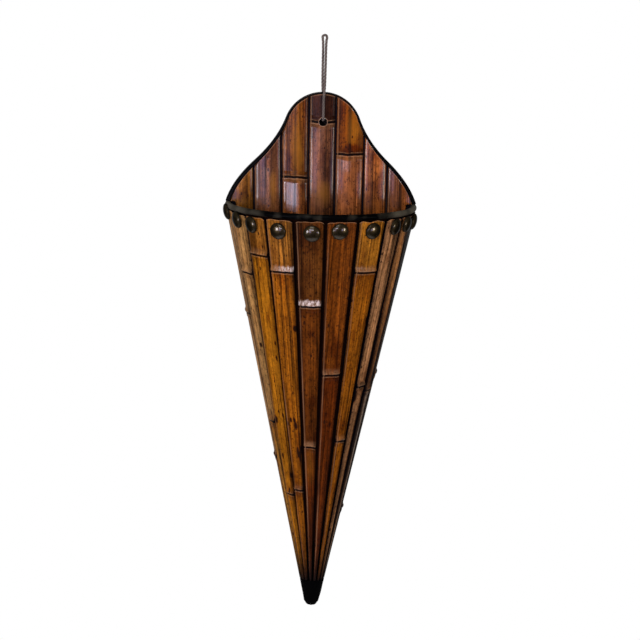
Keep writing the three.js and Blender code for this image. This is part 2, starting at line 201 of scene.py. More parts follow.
# How far the skin is torn to pale wood above each joint, at the strip's left and right edge
STRIP_LIPS = (
    ((0.1, 0.1), (0.1, 0.1)),
    ((0.25, 0.25), (0.1, 0.1)),
    ((0.2, 0.2), (0.05, 0.05)),
    ((0.2, 1.0), (0.1, 0.1)),
    ((0.9, 1.0), (0.28, 0.28)),
    ((0.25, 0.2),),
    ((0.35, 0.3), (0.15, 0.15)),
    ((0.2, 0.2),),
    ((0.1, 0.1),),
    ((0.1, 0.1), (0.1, 0.1)),
)
# Oval patches: strip, height, place across, half width and half height in millimetres, strength. They are
# scorched up to 1 and charred black above it, as bud scars are; below 0 they are paler. A few of them are
# painted shade, as marked.
STRIP_SCORCHES_AND_SHADE = (
    (1, -207, 0, 6, 4, 5),
    (2, -110, 3.6, 3, 2, 5),
    (2, -175, 3, 2.4, 2.5, 5),
    (3, -85, 2, 3, 7, 1),
    (3, -105.5, 6.5, 1.2, 1.8, 5),
    (3, -118, 6, 1.2, 2.4, 5),
    (3, -164.5, 0.4, 1.2, 2, 5),
    (3, -167, 4.6, 1.4, 2.4, 5),
    (3, -172, -4.2, 2.4, 4, 5),
    (3, -203, -2.1, 1.3, 2.8, 5),
    (3, -219, 4.2, 1.6, 3, 5),
    (3, -233, 0.5, 1.4, 3.4, 5),
    (4, -91, 7.8, 2.2, 3.2, 5),
    (4, -169.5, -1.8, 1.3, 2.6, 5),
    (4, -169, 1.3, 1.4, 2.4, 5),
    (4, -174, 2.3, 1.6, 4, 5),
    (4, -173, -5.2, 1.8, 1.6, 5),
    (4, -195, 5.6, 2, 4.5, 5),
    (4, -197, 2.4, 1.1, 6.5, 5),
    (4, -201, 3.8, 1, 6.5, 5),
    # Painted shadow: strip 5 darkened under the rim, round its nail
    (5, -14, -2, 11, 18, 1),
    (5, -95, 1, 6, 9, 1),
    (5, -150, 3, 5, 8, 1),
    (5, -206, 0, 8, 22, -0.3),
    (6, -105, 2, 6, 14, 1),
    (6, -165, -1, 6, 12, 0.7),
    (6, -172, 2.4, 2, 5, 1.6),
    (7, -85, 8, 1.6, 4, 5),
    (7, -93, 8, 1.6, 2.5, 5),
    (7, -174, 0, 2.5, 5, 1.6),
    (7, -187.4, 2, 3, 2.6, 5),
    # Painted shade: this band and the two long ones after the knob darken strip 8's right side into the
    # seam
    (8, -140, 7.6, 4.2, 120, 6),
    (8, -141, 0, 4.6, 4.5, 5),
    # Painted shade below and to the left of the knob
    (8, -150, -5, 3, 7, 5),
    (8, -215, 4.4, 4, 80, 6),
    (8, -288, 2.6, 2.2, 55, 6),
    # Painted shade: two long bands darken strip 9's sides into the seams, leaving a pale line between
    (9, -250, -5.6, 5.6, 210, 6),
    (9, -250, 3.6, 4.4, 210, 6),
)
# The same kind of patches on the back slats
SLAT_SCORCHES = (
    (1, 8, -4, 6, 8, 0.6),
    (2, 44, 0, 12, 22, 0.9),
    (2, 14, 4, 4, 22, -0.7),
    (3, 66, 8, 5, 34, 0.9),
    (3, 84, -4, 8, 12, 0.6),
    (3, 46, 3, 8, 34, -0.6),
    (4, 36, 3, 9, 18, 0.9),
    (4, 10, 0, 9, 14, -0.6),
    (5, 45, 0, 12, 6, 0.9),
    (5, 72, -7, 4, 24, 0.35),
    (5, 60, 4, 9, 26, -0.6),
    (6, 40, -3, 8, 16, 0.9),
    (7, 14, 5, 6, 9, 0.4),
)
# Seams of the slats level with the rim and with the peak, as shares of the panel's half width
SLAT_SEAMS = (
    (-1, -1),
    (-0.703, -0.733),
    (-0.414, -0.441),
    (-0.137, -0.151),
    (0.14, 0.136),
    (0.436, 0.438),
    (0.689, 0.683),
    (1, 1),
)
SLAT_GAP = 1.5 * MM
SLAT_JOINTS = ((-22,), (-38, -160), (22.6, -99), (66.7, -55, -177), (41.4, -81, -203), (-60,), (-30,))
SLAT_STAINS = (
    ("tawny", "tawny"),
    ("umber", "umber", "umber"),
    ("conker", "chestnut", "chestnut"),
    ("soot", "umber", "umber", "umber"),
    ("rust", "toffee", "toffee", "toffee"),
    ("chestnut", "toffee"),
    ("chestnut", "chestnut"),
)
SLAT_LIP = (0.2, 0.2)
# Gloss of the same lengths: the lacquer was brushed on thinly here and thickly there
SLAT_SHINES = (
    (0.4, 0.4),
    (0.55, 0.55, 0.55),
    (0.17, 1.0, 1.0),
    (0.06, 0.4, 0.4, 0.4),
    (0.0, 0.42, 0.42, 0.42),
    (0.48, 0.48),
    (0.48, 0.48),
)
# How far each slat is turned to the left, as rise over width: they are glued down by eye
SLAT_LEANS = (0.04, 0.07, 0.07, 0.05, 0.03, -0.05, 0.03)
# A slat's warp in millimetres: how far it comes forward, and from what height over how long a stretch
NO_WARP = (0, 0, 1)
SLAT_WARPS = (NO_WARP, (1.2, 30, 34), (2.5, 21, 30), NO_WARP, (0.7, 41, 14), NO_WARP, NO_WARP)
# Nails in millimetres: how far below the rim, and how far to the right of the strip's middle
NAIL_DROPS = (4.4, 8, 9.5, 12.2, 12.5, 10.5, 11, 9.2, 8.8, 8.9)
NAIL_SHIFTS = (1.4, 0, -2, -0.6, 1.9, -1.9, 0.2, -0.6, -0.2, -6)
# Degrees by which a nail was driven askew, to the right above 0
NAIL_TURNS = (0, -5, -10, 0, 0, 0, 0, 8, 4, 0)

# The cord's middle line in millimetres: from the knot forward through the hole, up the face, over the
# wall nail, and down behind the board to the knot again

CORD_ROUTE = (
    (0, 0.3, 68.55),
    (0, -2.5, 68.55),
    (0, -5, 68.55),
    (0, -8.85, 68.6),
    (0, -10.65, 69.4),
    (0, -11.15, 71),
    (0, -10.95, 73.5),
    (0, -10.35, 78.1),
    (0, -10.15, 85.48),
    (0.55, -10.05, 93.4),
    (0.8, -9, 99.9),
    (0.98, -7.01, 110.7),
    (1.08, -5.14, 121.94),
    (1.29, -4.2, 130.1),
    (1.75, -4.2, 133.6),
    (1.22, -4.2, 134.82),
    (0, -4.2, 135.35),
    (-1.22, -4.2, 134.82),
    (-1.75, -4.2, 133.6),
    (-1.29, -4.2, 130.1),
    (-1.08, -3.26, 121.94),
    (-0.98, -1.39, 110.7),
    (-0.8, 0.6, 99.9),
    (-0.55, 1.65, 93.4),
    (0, 1.65, 85.48),
    (0, 1.65, 78.1),
    (0, 2.05, 73.1),
    (0, 3.05, 70.6),
)
# Depth of the grooves between the plies as a share of the radius, and the length of a face along the cord
CORD_GROOVE = 0.3
CORD_STEP = 0.35 * MM
# A stopper knot: its turns and bights, then the radius, the swing and the depth of its line in millimetres
KNOT_CENTRE = (0, 3.3 * MM, 66.2 * MM)
KNOT_TURNS = 2
KNOT_BIGHTS = 5
KNOT_R = 1.75
KNOT_SWING = 0.8
KNOT_DEPTH = 0.95
KNOT_STEPS = 160


class BambooSizes(bpy.types.PropertyGroup):
    """Shape of the split bamboo."""

    cane_radius: FloatProperty(
        name="Cane radius",
        description="Of the cane that a lath is split from",
        default=55 * MM,
        unit="LENGTH",
    )
    panel_radius: FloatProperty(
        name="Panel cane radius",
        description="Of the cane that a back slat is split from",
        default=29 * MM,
        unit="LENGTH",
    )
    edge_round: FloatProperty(
        name="Edge round", description="Rounding of a lath's long edges", default=0.7 * MM, unit="LENGTH"
    )
    panel_edge: FloatProperty(
        name="Panel edge",
        description="Width of the rounding along a slat's edges",
        default=2.6 * MM,
        unit="LENGTH",
    )
    joint_rise: FloatProperty(
        name="Joint rise",
        description="How far a joint's ridge stands out",
        default=1.1 * MM,
        unit="LENGTH",
    )
    joint_reach: FloatProperty(
        name="Joint reach",
        description="How far the swelling runs from the joint",
        default=4.5 * MM,
        unit="LENGTH",
    )
    wander: FloatProperty(
        name="Wander", description="Unevenness of the split face", default=0.2 * MM, unit="LENGTH"
    )


class FittingSizes(bpy.types.PropertyGroup):
    """Nails and cord."""

    nail_radius: FloatProperty(
        name="Nail radius", description="Of the dome's edge", default=6.7 * MM, unit="LENGTH"
    )
    nail_height: FloatProperty(
        name="Nail height", description="Of the dome", default=3.6 * MM, unit="LENGTH"
    )
    cord_diameter: FloatProperty(
        name="Cord diameter", description="Over the plies", default=2.1 * MM, unit="LENGTH"
    )
    cord_pitch: FloatProperty(
        name="Cord pitch", description="Length of one full twist", default=8.5 * MM, unit="LENGTH"
    )
    cord_plies: IntProperty(name="Plies", description="Yarns twisted into the cord", default=3)


class PocketColours(bpy.types.PropertyGroup):
    """Colours of the finishes."""

    lacquer: FloatVectorProperty(
        name="Black lacquer",
        description="On the rim, the edging and the tip",
        subtype="COLOR",
        default=linear("#020202"),
    )
    brass: FloatVectorProperty(
        name="Brass", description="Where the nail is rubbed", subtype="COLOR", default=linear("#3d3320")
    )
    patina: FloatVectorProperty(
        name="Patina", description="Dark film on the brass", subtype="COLOR", default=linear("#0d0a06")
    )
    twine: FloatVectorProperty(
        name="Twine", description="Of the hanging cord", subtype="COLOR", default=linear("#554b44")
    )


class StageSizes(bpy.types.PropertyGroup):
    """Camera and studio."""

    distance: FloatProperty(
        name="Distance", description="From camera to object", default=1.5, unit="LENGTH"
    )
    elevation: FloatProperty(
        name="Elevation", description="Of the camera", subtype="ANGLE", default=math.radians(10.9)
    )
    azimuth: FloatProperty(
        name="Azimuth",
        description="Of the camera, positive to the right",
        subtype="ANGLE",
        default=math.radians(-2.5),
    )
    roll: FloatProperty(
        name="Roll", description="Of the camera about its view", subtype="ANGLE", default=math.radians(1.4)
    )
    lens: FloatProperty(name="Lens", description="Focal length", default=105.0, unit="CAMERA")
    floor_z: FloatProperty(
        name="Floor", description="Height of the floor", default=-0.62, unit="LENGTH"
    )


class PocketSettings(bpy.types.PropertyGroup):
    """All settings of the wall pocket."""

    bamboo: PointerProperty(type=BambooSizes)
    fittings: PointerProperty(type=FittingSizes)
    colours: PointerProperty(type=PocketColours)
    stage: PointerProperty(type=StageSizes)


# Helpers for nodes and meshes


def add(tree, kind, links=None, **settings):
    """Adds a node; a link's value is a plain value, an output, or a node for its first output."""
    made = tree.nodes.new(kind)
    for key, value in settings.items():
        setattr(made, key, value)
    for key, value in (links or {}).items():
        if isinstance(value, bpy.types.Node):
            value = value.outputs[0]
        if isinstance(value, bpy.types.NodeSocket):
            tree.links.new(value, made.inputs[key])
        else:
            made.inputs[key].default_value = value
    return made


def new_tree(name, inputs):
    """A geometry node tree with a geometry in and out and these named inputs: (name, socket type)."""
    tree = bpy.data.node_groups.new(name, "GeometryNodeTree")
    tree.interface.new_socket("Geometry", in_out="OUTPUT", socket_type="NodeSocketGeometry")
    tree.interface.new_socket("Geometry", in_out="INPUT", socket_type="NodeSocketGeometry")
    for label, kind in inputs:
        tree.interface.new_socket(label, in_out="INPUT", socket_type=kind)
    return tree, tree.nodes.new("NodeGroupInput"), tree.nodes.new("NodeGroupOutput")


def run_tree(obj, tree, values):
    """Runs a tree on an object with these inputs, and leaves the plain mesh that it makes."""
    modifier = obj.modifiers.new(tree.name, "NODES")
    modifier.node_group = tree
    sockets = {s.name: s.identifier for s in tree.interface.items_tree if s.in_out == "INPUT"}
    for label, value in values.items():
        modifier[sockets[label]] = value
    graph = bpy.context.evaluated_depsgraph_get()
    made = bpy.data.meshes.new_from_object(obj.evaluated_get(graph), depsgraph=graph)
    obj.modifiers.remove(modifier)
    if not made.polygons:
        raise RuntimeError(f"{tree.name} made no faces on {obj.name}")
    name = obj.name
    if obj.type == "MESH":
        obj.data = made
        made.name = name
        return obj
    bpy.data.objects.remove(obj)
    return new_object(name, made)


def new_object(name, data):
    obj = bpy.data.objects.new(name, data)
    bpy.context.scene.collection.objects.link(obj)
    return obj


def mesh_from(name, points, faces, smooth=True):
    mesh = bpy.data.meshes.new(name)
    mesh.from_pydata([tuple(p) for p in points], [], faces)
    mesh.validate()
    if smooth:
        mesh.shade_smooth()
    return mesh


def loft(name, rings, sharp=math.radians(40)):
    """A closed solid through rings of equally many points, with a cap on each end."""
    count = len(rings[0])
    faces = []
    for r in range(len(rings) - 1):
        for i in range(count):
            a = r * count + i
            b = r * count + (i + 1) % count
            faces.append((a, b, b + count, a + count))
    last = (len(rings) - 1) * count
    faces.append(tuple(range(count - 1, -1, -1)))
    faces.append(tuple(last + i for i in range(count)))
    mesh = mesh_from(name, [p for ring in rings for p in ring], faces)
    turn_out(mesh)
    mesh.set_sharp_from_angle(angle=sharp)
    return mesh


def turn_out(mesh):
    """Turns the faces of a closed mesh outwards."""
    volume = 0.0
    mesh.calc_loop_triangles()
    for triangle in mesh.loop_triangles:
        a, b, c = (mesh.vertices[v].co for v in triangle.vertices)
        volume += a.dot(b.cross(c))
    if volume < 0:
        mesh.flip_normals()


def finish_piece(obj, body, nodes, material=None):
    """Gives a piece its material, its body and the CAD nodes that it stands for."""
    if material is not None:
        obj.data.materials.clear()
        obj.data.materials.append(material)
        obj.data.polygons.foreach_set("material_index", [0] * len(obj.data.polygons))
    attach(obj, body)
    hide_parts(*nodes)


def on_cone(r, angle, z, across=0.0):
    """A point of the half cone: angle from straight ahead, then a step across along the tangent."""
    return Vector((
        r * math.sin(angle) + across * math.cos(angle),
        AXIS_Y - r * math.cos(angle) + across * math.sin(angle),
        z,
    ))


def arc_angles(steps):
    return [math.pi * (i / steps - 0.5) for i in range(steps + 1)]


def half_turn(name, section, steps=96):
    """A section of (radius, z) pairs swept round the half turn."""
    return loft(name, [[on_cone(r, a, z) for r, z in section] for a in arc_angles(steps)])


def catmull(points, steps):
    """A smooth line through the points, with so many steps between each two."""
    line = []
    for i in range(len(points) - 1):
        before = points[max(i - 1, 0)]
        after = points[min(i + 2, len(points) - 1)]
        a, b = points[i], points[i + 1]
        for k in range(steps):
            t = k / steps
            line.append(
                0.5 * (2 * a + (b - before) * t + (2 * before - 5 * a + 4 * b - after) * t * t
                       + (3 * a - before - 3 * b + after) * t**3)
            )
    line.append(points[-1])
    return line


# Geometry node trees

LATH_INPUTS = (
    ("Thickness", "NodeSocketFloat"),
    ("Thinning", "NodeSocketFloat"),
    ("Cane radius", "NodeSocketFloat"),
    ("Edge round", "NodeSocketFloat"),
    ("Edge drop", "NodeSocketFloat"),
    ("Joint rise", "NodeSocketFloat"),
    ("Joint reach", "NodeSocketFloat"),
    ("Wander", "NodeSocketFloat"),
    ("Lean", "NodeSocketFloat"),
    ("Seed", "NodeSocketFloat"),
    ("Round the cone", "NodeSocketBool"),
    ("Radius", "NodeSocketFloat"),
    ("Slope", "NodeSocketFloat"),
    ("Middle", "NodeSocketFloat"),
    ("Turn", "NodeSocketFloat"),
    ("Material", "NodeSocketMaterial"),
)
# A joint's swelling along the lath, from below its groove to above it: share of the reach, of the rise
JOINT_PROFILE = (
    (-1, 0),
    (-0.35, 0.42),
    (-0.09, 0.06),
    (0.0, 0.05),
    (0.1, 0.86),
    (0.3, 1),
    (0.62, 0.4),
    (1, 0),
)
LEAST_THICK = 0.5 * MM
# Waves of a split face to the metre: one in about 6 mm across the grain and in 45 mm along it
FACE_WAVES = (160.0, 1.0, 22.0)
# How far smoke reaches from a joint; the attribute near falls from 1 at the joint to 0 here
JOINT_SPAN = 22 * MM


def lath_tree():
    """Raises a flat blank into a split bamboo lath with a round face, eased edges and swollen joints,
    and bends it onto the cone. The blank has the attributes across, edge, joint and warp, in metres."""
    tree, given, result = new_tree("Split bamboo lath", LATH_INPUTS)
    value = given.outputs
    place = add(tree, "ShaderNodeSeparateXYZ", {0: add(tree, "GeometryNodeInputPosition")})
    across, edge, joint, warp = (
        add(tree, "GeometryNodeInputNamedAttribute", {"Name": label}, data_type="FLOAT")
        for label in ("across", "edge", "joint", "warp")
    )
    high = place.outputs["Z"]

    # Height of the face over the flat back
    thick = add(
        tree,
        "ShaderNodeMath",
        {0: high, 1: value["Thinning"], 2: value["Thickness"]},
        operation="MULTIPLY_ADD",
    )
    square = add(tree, "ShaderNodeMath", {0: across, 1: across}, operation="MULTIPLY")
    twice = add(tree, "ShaderNodeMath", {0: value["Cane radius"], 1: 2.0}, operation="MULTIPLY")
    crown = add(tree, "ShaderNodeMath", {0: square, 1: twice}, operation="DIVIDE")
    share = add(
        tree, "ShaderNodeMath", {0: edge, 1: value["Edge round"]}, operation="DIVIDE", use_clamp=True
    )
    short = add(tree, "ShaderNodeMath", {0: 1.0, 1: share}, operation="SUBTRACT")
    short = add(tree, "ShaderNodeMath", {0: short, 1: short}, operation="MULTIPLY")
    root = add(tree, "ShaderNodeMath", {0: 1.0, 1: short}, operation="SUBTRACT")
    root = add(tree, "ShaderNodeMath", {0: root}, operation="SQRT")
    fall = add(tree, "ShaderNodeMath", {0: 1.0, 1: root}, operation="SUBTRACT")
    fall = add(tree, "ShaderNodeMath", {0: fall, 1: value["Edge drop"]}, operation="MULTIPLY")
    from_joint = add(tree, "ShaderNodeMath", {0: joint, 1: value["Joint reach"]}, operation="DIVIDE")
    on_curve = add(tree, "ShaderNodeMapRange", {0: from_joint, 1: -1.0, 2: 1.0})
    swell = add(tree, "ShaderNodeFloatCurve", {"Value": on_curve})
    curve = swell.mapping.curves[0]
    for reach, rise in JOINT_PROFILE[1:-1]:
        curve.points.new((reach + 1) / 2, rise)
    curve.points[0].location = (0, 0)
    curve.points[-1].location = (1, 0)
    swell.mapping.update()
    ridge = add(tree, "ShaderNodeMath", {0: swell, 1: value["Joint rise"]}, operation="MULTIPLY")
    spot = add(tree, "ShaderNodeCombineXYZ", {0: place.outputs["X"], 1: value["Seed"], 2: high})
    spot = add(tree, "ShaderNodeVectorMath", {0: spot, 1: FACE_WAVES}, operation="MULTIPLY")
    bumps = add(tree, "ShaderNodeTexNoise", {"Vector": spot, "Scale": 1.0, "Detail": 2.0})
    bumps = add(tree, "ShaderNodeMath", {0: bumps, 1: 0.5}, operation="SUBTRACT")
    bumps = add(tree, "ShaderNodeMath", {0: bumps, 1: value["Wander"]}, operation="MULTIPLY")
    tilt = add(tree, "ShaderNodeMath", {0: across, 1: value["Lean"]}, operation="MULTIPLY")
    face = thick
    for hollow in (crown, fall):
        face = add(tree, "ShaderNodeMath", {0: face, 1: hollow}, operation="SUBTRACT")
    for swelling in (tilt, ridge, warp, bumps):
        face = add(tree, "ShaderNodeMath", {0: face, 1: swelling}, operation="ADD")
    face = add(tree, "ShaderNodeMath", {0: face, 1: LEAST_THICK}, operation="MAXIMUM")

    # The blank is the flat back; its copy is raised to be the face
    raised = add(
        tree,
        "GeometryNodeExtrudeMesh",
        {"Mesh": value["Geometry"], "Offset Scale": 0.0, "Individual": False},
    )
    marked = add(
        tree,
        "GeometryNodeStoreNamedAttribute",
        {"Geometry": raised, "Name": "face", "Value": raised.outputs["Top"]},
        data_type="FLOAT",
        domain="POINT",
    )
    forward = add(tree, "ShaderNodeMath", {0: face, 1: -1.0}, operation="MULTIPLY")
    forward = add(tree, "ShaderNodeCombineXYZ", {1: forward})
    moved = add(
        tree,
        "GeometryNodeSetPosition",
        {"Geometry": marked, "Selection": raised.outputs["Top"], "Offset": forward},
    )
    back = add(tree, "GeometryNodeFlipFaces", {"Mesh": value["Geometry"]})
    whole = add(tree, "GeometryNodeJoinGeometry", {0: moved})
    tree.links.new(back.outputs[0], whole.inputs[0])
    whole = add(tree, "GeometryNodeMergeByDistance", {"Geometry": whole, "Distance": 0.001 * MM})

    # Onto the cone, or flat on the board
    x, y, z = add(tree, "ShaderNodeSeparateXYZ", {0: add(tree, "GeometryNodeInputPosition")}).outputs
    radius, angle = (
        add(tree, "ShaderNodeMath", {0: z, 1: value[change], 2: value[start]}, operation="MULTIPLY_ADD")
        for start, change in (("Radius", "Slope"), ("Middle", "Turn"))
    )
    radius = add(tree, "ShaderNodeMath", {0: radius, 1: y}, operation="SUBTRACT")
    sine = add(tree, "ShaderNodeMath", {0: angle}, operation="SINE")
    cosine = add(tree, "ShaderNodeMath", {0: angle}, operation="COSINE")
    side = add(tree, "ShaderNodeMath", {0: x, 1: cosine}, operation="MULTIPLY")
    side = add(tree, "ShaderNodeMath", {0: radius, 1: sine, 2: side}, operation="MULTIPLY_ADD")
    deep = add(tree, "ShaderNodeMath", {0: x, 1: sine, 2: AXIS_Y}, operation="MULTIPLY_ADD")
    out_front = add(tree, "ShaderNodeMath", {0: radius, 1: cosine}, operation="MULTIPLY")
    deep = add(tree, "ShaderNodeMath", {0: deep, 1: out_front}, operation="SUBTRACT")
    bent = add(tree, "ShaderNodeCombineXYZ", {0: side, 1: deep, 2: z})
    flat_y = add(tree, "ShaderNodeMath", {0: y, 1: AXIS_Y}, operation="ADD")
    flat = add(tree, "ShaderNodeCombineXYZ", {0: x, 1: flat_y, 2: z})
    chosen = add(
        tree,
        "GeometryNodeSwitch",
        {"Switch": value["Round the cone"], "False": flat, "True": bent},
        input_type="VECTOR",
    )
    placed = add(tree, "GeometryNodeSetPosition", {"Geometry": whole, "Position": chosen})
    end_tree(tree, placed, value["Material"], result)
    return tree


def end_tree(tree, geometry, material, result, sharp=math.radians(50)):
    """Smooth shading with sharp edges kept, then plain mesh and material."""
    bend = add(tree, "GeometryNodeInputMeshEdgeAngle").outputs["Unsigned Angle"]
    steep = add(tree, "FunctionNodeCompare", {0: bend, 1: sharp}, operation="GREATER_THAN")
    smooth = add(
        tree, "GeometryNodeSetShadeSmooth", {"Geometry": geometry, "Shade Smooth": True}, domain="FACE"
    )
    crisp = add(
        tree,
        "GeometryNodeSetShadeSmooth",
        {"Geometry": smooth, "Selection": steep, "Shade Smooth": False},
        domain="EDGE",
    )
    real = add(tree, "GeometryNodeRealizeInstances", {"Geometry": crisp})
    made = add(tree, "GeometryNodeSetMaterial", {"Geometry": real, "Material": material})
    tree.links.new(made.outputs[0], result.inputs[0])


HOLE_INPUTS = (
    ("Radius", "NodeSocketFloat"),
    ("Height", "NodeSocketFloat"),
    ("Material", "NodeSocketMaterial"),
)


def hole_tree():
    """Bores the cord's hole through a piece."""
    tree, given, result = new_tree("Cord hole", HOLE_INPUTS)
    bar = add(
        tree,
        "GeometryNodeMeshCylinder",
        {"Vertices": 40, "Radius": given.outputs["Radius"], "Depth": 40 * MM},
    )
    up = add(tree, "ShaderNodeCombineXYZ", {2: given.outputs["Height"]})
    bar = add(
        tree,
        "GeometryNodeTransform",
        {"Geometry": bar.outputs["Mesh"], "Translation": up, "Rotation": (math.pi / 2, 0, 0)},
    )
    bored = add(
        tree,
        "GeometryNodeMeshBoolean",
        {0: given.outputs["Geometry"], 1: bar},
        operation="DIFFERENCE",
        solver="EXACT",
    )
    real = add(tree, "GeometryNodeRealizeInstances", {"Geometry": bored})
    made = add(tree, "GeometryNodeSetMaterial", {"Geometry": real, "Material": given.outputs["Material"]})
    tree.links.new(made.outputs[0], result.inputs[0])
    return tree


NAIL_INPUTS = (
    ("Radius", "NodeSocketFloat"),
    ("Height", "NodeSocketFloat"),
    ("Shank radius", "NodeSocketFloat"),
    ("Shank length", "NodeSocketFloat"),
    ("Dents", "NodeSocketFloat"),
    ("Material", "NodeSocketMaterial"),
)


def nail_tree():
    """Sets a dome nail on each point, square to the point's facing direction, and dents it a little."""
    tree, given, result = new_tree("Dome nails", NAIL_INPUTS)
    value = given.outputs
    ball = add(tree, "GeometryNodeMeshUVSphere", {"Segments": 44, "Rings": 26, "Radius": 1.0})
    at = add(tree, "ShaderNodeSeparateXYZ", {0: add(tree, "GeometryNodeInputPosition")})
    above = add(tree, "ShaderNodeMath", {0: at.outputs["Z"], 1: 0.0}, operation="MAXIMUM")
    ball = add(
        tree,
        "GeometryNodeStoreNamedAttribute",
        {"Geometry": ball.outputs["Mesh"], "Name": "dome", "Value": above},
        data_type="FLOAT",
        domain="POINT",
    )
    # the ball's lower half goes flat for the underside, under an upright skirt an eighth of the height
    skirt = add(tree, "ShaderNodeMath", {0: value["Height"], 1: 0.125}, operation="MULTIPLY")
    rise = add(tree, "ShaderNodeMath", {0: value["Height"], 1: skirt}, operation="SUBTRACT")
    upper = add(tree, "ShaderNodeMath", {0: at.outputs["Z"], 1: -0.02}, operation="GREATER_THAN")
    high = add(tree, "ShaderNodeMath", {0: upper, 1: skirt}, operation="MULTIPLY")
    high = add(tree, "ShaderNodeMath", {0: above, 1: rise, 2: high}, operation="MULTIPLY_ADD")
    wide = add(tree, "ShaderNodeMath", {0: at.outputs["X"], 1: value["Radius"]}, operation="MULTIPLY")
    long = add(tree, "ShaderNodeMath", {0: at.outputs["Y"], 1: value["Radius"]}, operation="MULTIPLY")
    shaped = add(tree, "ShaderNodeCombineXYZ", {0: wide, 1: long, 2: high})
    dome = add(tree, "GeometryNodeSetPosition", {"Geometry": ball, "Position": shaped})
    shank = add(
        tree,
        "GeometryNodeMeshCone",
        {
            "Vertices": 12,
            "Radius Top": value["Shank radius"],
            "Radius Bottom": 0.2 * MM,
            "Depth": value["Shank length"],
        },
    )
    drop = add(tree, "ShaderNodeMath", {0: value["Shank length"], 1: -1.0}, operation="MULTIPLY")
    drop = add(tree, "ShaderNodeCombineXYZ", {2: drop})
    shank = add(tree, "GeometryNodeTransform", {"Geometry": shank.outputs["Mesh"], "Translation": drop})
    nail = add(tree, "GeometryNodeJoinGeometry", {0: dome})
    tree.links.new(shank.outputs[0], nail.inputs[0])
    facing = add(tree, "GeometryNodeInputNamedAttribute", {"Name": "facing"}, data_type="FLOAT_VECTOR")
    turned = add(tree, "FunctionNodeAlignRotationToVector", {"Vector": facing}, axis="Z")
    nails = add(
        tree,
        "GeometryNodeInstanceOnPoints",
        {"Points": value["Geometry"], "Instance": nail, "Rotation": turned},
    )
    real = add(tree, "GeometryNodeRealizeInstances", {"Geometry": nails})
    # hammer dents about 3 mm across
    spots = add(
        tree,
        "ShaderNodeTexNoise",
        {"Vector": add(tree, "GeometryNodeInputPosition"), "Scale": 330.0, "Detail": 1.5},
    )
    depth = add(tree, "ShaderNodeMath", {0: spots, 1: 0.5}, operation="SUBTRACT")
    depth = add(tree, "ShaderNodeMath", {0: depth, 1: value["Dents"]}, operation="MULTIPLY")
    dent = add(
        tree,
        "ShaderNodeVectorMath",
        {0: add(tree, "GeometryNodeInputNormal"), "Scale": depth},
        operation="SCALE",
    )
    dented = add(tree, "GeometryNodeSetPosition", {"Geometry": real, "Offset": dent})
    end_tree(tree, dented, value["Material"], result)
    return tree


CORD_INPUTS = (
    ("Diameter", "NodeSocketFloat"),
    ("Pitch", "NodeSocketFloat"),
    ("Plies", "NodeSocketInt"),
    ("Groove", "NodeSocketFloat"),
    ("Step", "NodeSocketFloat"),
    ("Material", "NodeSocketMaterial"),
)


def cord_tree():
    """Sweeps a lobed section along a route and twists it, which gives the plies of a laid cord."""
    tree, given, result = new_tree("Laid cord", CORD_INPUTS)
    value = given.outputs
    line = add(
        tree,
        "GeometryNodeResampleCurve",
        {"Curve": value["Geometry"], "Length": value["Step"]},
        mode="LENGTH",
    )
    gone = add(tree, "GeometryNodeSplineParameter")
    twist = add(tree, "ShaderNodeMath", {0: gone.outputs["Length"], 1: value["Pitch"]}, operation="DIVIDE")
    twist = add(tree, "ShaderNodeMath", {0: twist, 1: 2 * math.pi}, operation="MULTIPLY")
    line = add(tree, "GeometryNodeSetCurveTilt", {"Curve": line, "Tilt": twist})
    half = add(tree, "ShaderNodeMath", {0: value["Diameter"], 1: 0.5}, operation="MULTIPLY")
    ring = add(tree, "GeometryNodeCurvePrimitiveCircle", {"Resolution": 36, "Radius": half}, mode="RADIUS")
    at = add(tree, "ShaderNodeSeparateXYZ", {0: add(tree, "GeometryNodeInputPosition")})
    angle = add(tree, "ShaderNodeMath", {0: at.outputs["Y"], 1: at.outputs["X"]}, operation="ARCTAN2")
    lobe = add(tree, "ShaderNodeMath", {0: angle, 1: value["Plies"]}, operation="MULTIPLY")
    lobe = add(tree, "ShaderNodeMath", {0: lobe, 1: 0.5}, operation="MULTIPLY")
    lobe = add(tree, "ShaderNodeMath", {0: lobe}, operation="COSINE")
    lobe = add(tree, "ShaderNodeMath", {0: lobe}, operation="ABSOLUTE")
    lobe = add(tree, "ShaderNodeMath", {0: lobe, 1: 0.6}, operation="POWER")
    ring = add(
        tree,
        "GeometryNodeStoreNamedAttribute",
        {"Geometry": ring, "Name": "ply", "Value": lobe},
        data_type="FLOAT",
        domain="POINT",
    )
    inner = add(tree, "ShaderNodeMath", {0: 1.0, 1: value["Groove"]}, operation="SUBTRACT")
    keep = add(tree, "ShaderNodeMath", {0: lobe, 1: value["Groove"], 2: inner}, operation="MULTIPLY_ADD")
    lobed = add(
        tree,
        "ShaderNodeVectorMath",
        {0: add(tree, "GeometryNodeInputPosition"), "Scale": keep},
        operation="SCALE",
    )
    # the profile is read before it is moved, so the lobes keep their own angles
    ring = add(tree, "GeometryNodeSetPosition", {"Geometry": ring, "Position": lobed})
    swept = add(tree, "GeometryNodeCurveToMesh", {"Curve": line, "Profile Curve": ring, "Fill Caps": True})
    end_tree(tree, swept, value["Material"], result)
    return tree


# Materials


def new_material(name):
    material = bpy.data.materials.new(name)
    material.use_nodes = True
    material.node_tree.nodes.clear()
    return material, material.node_tree


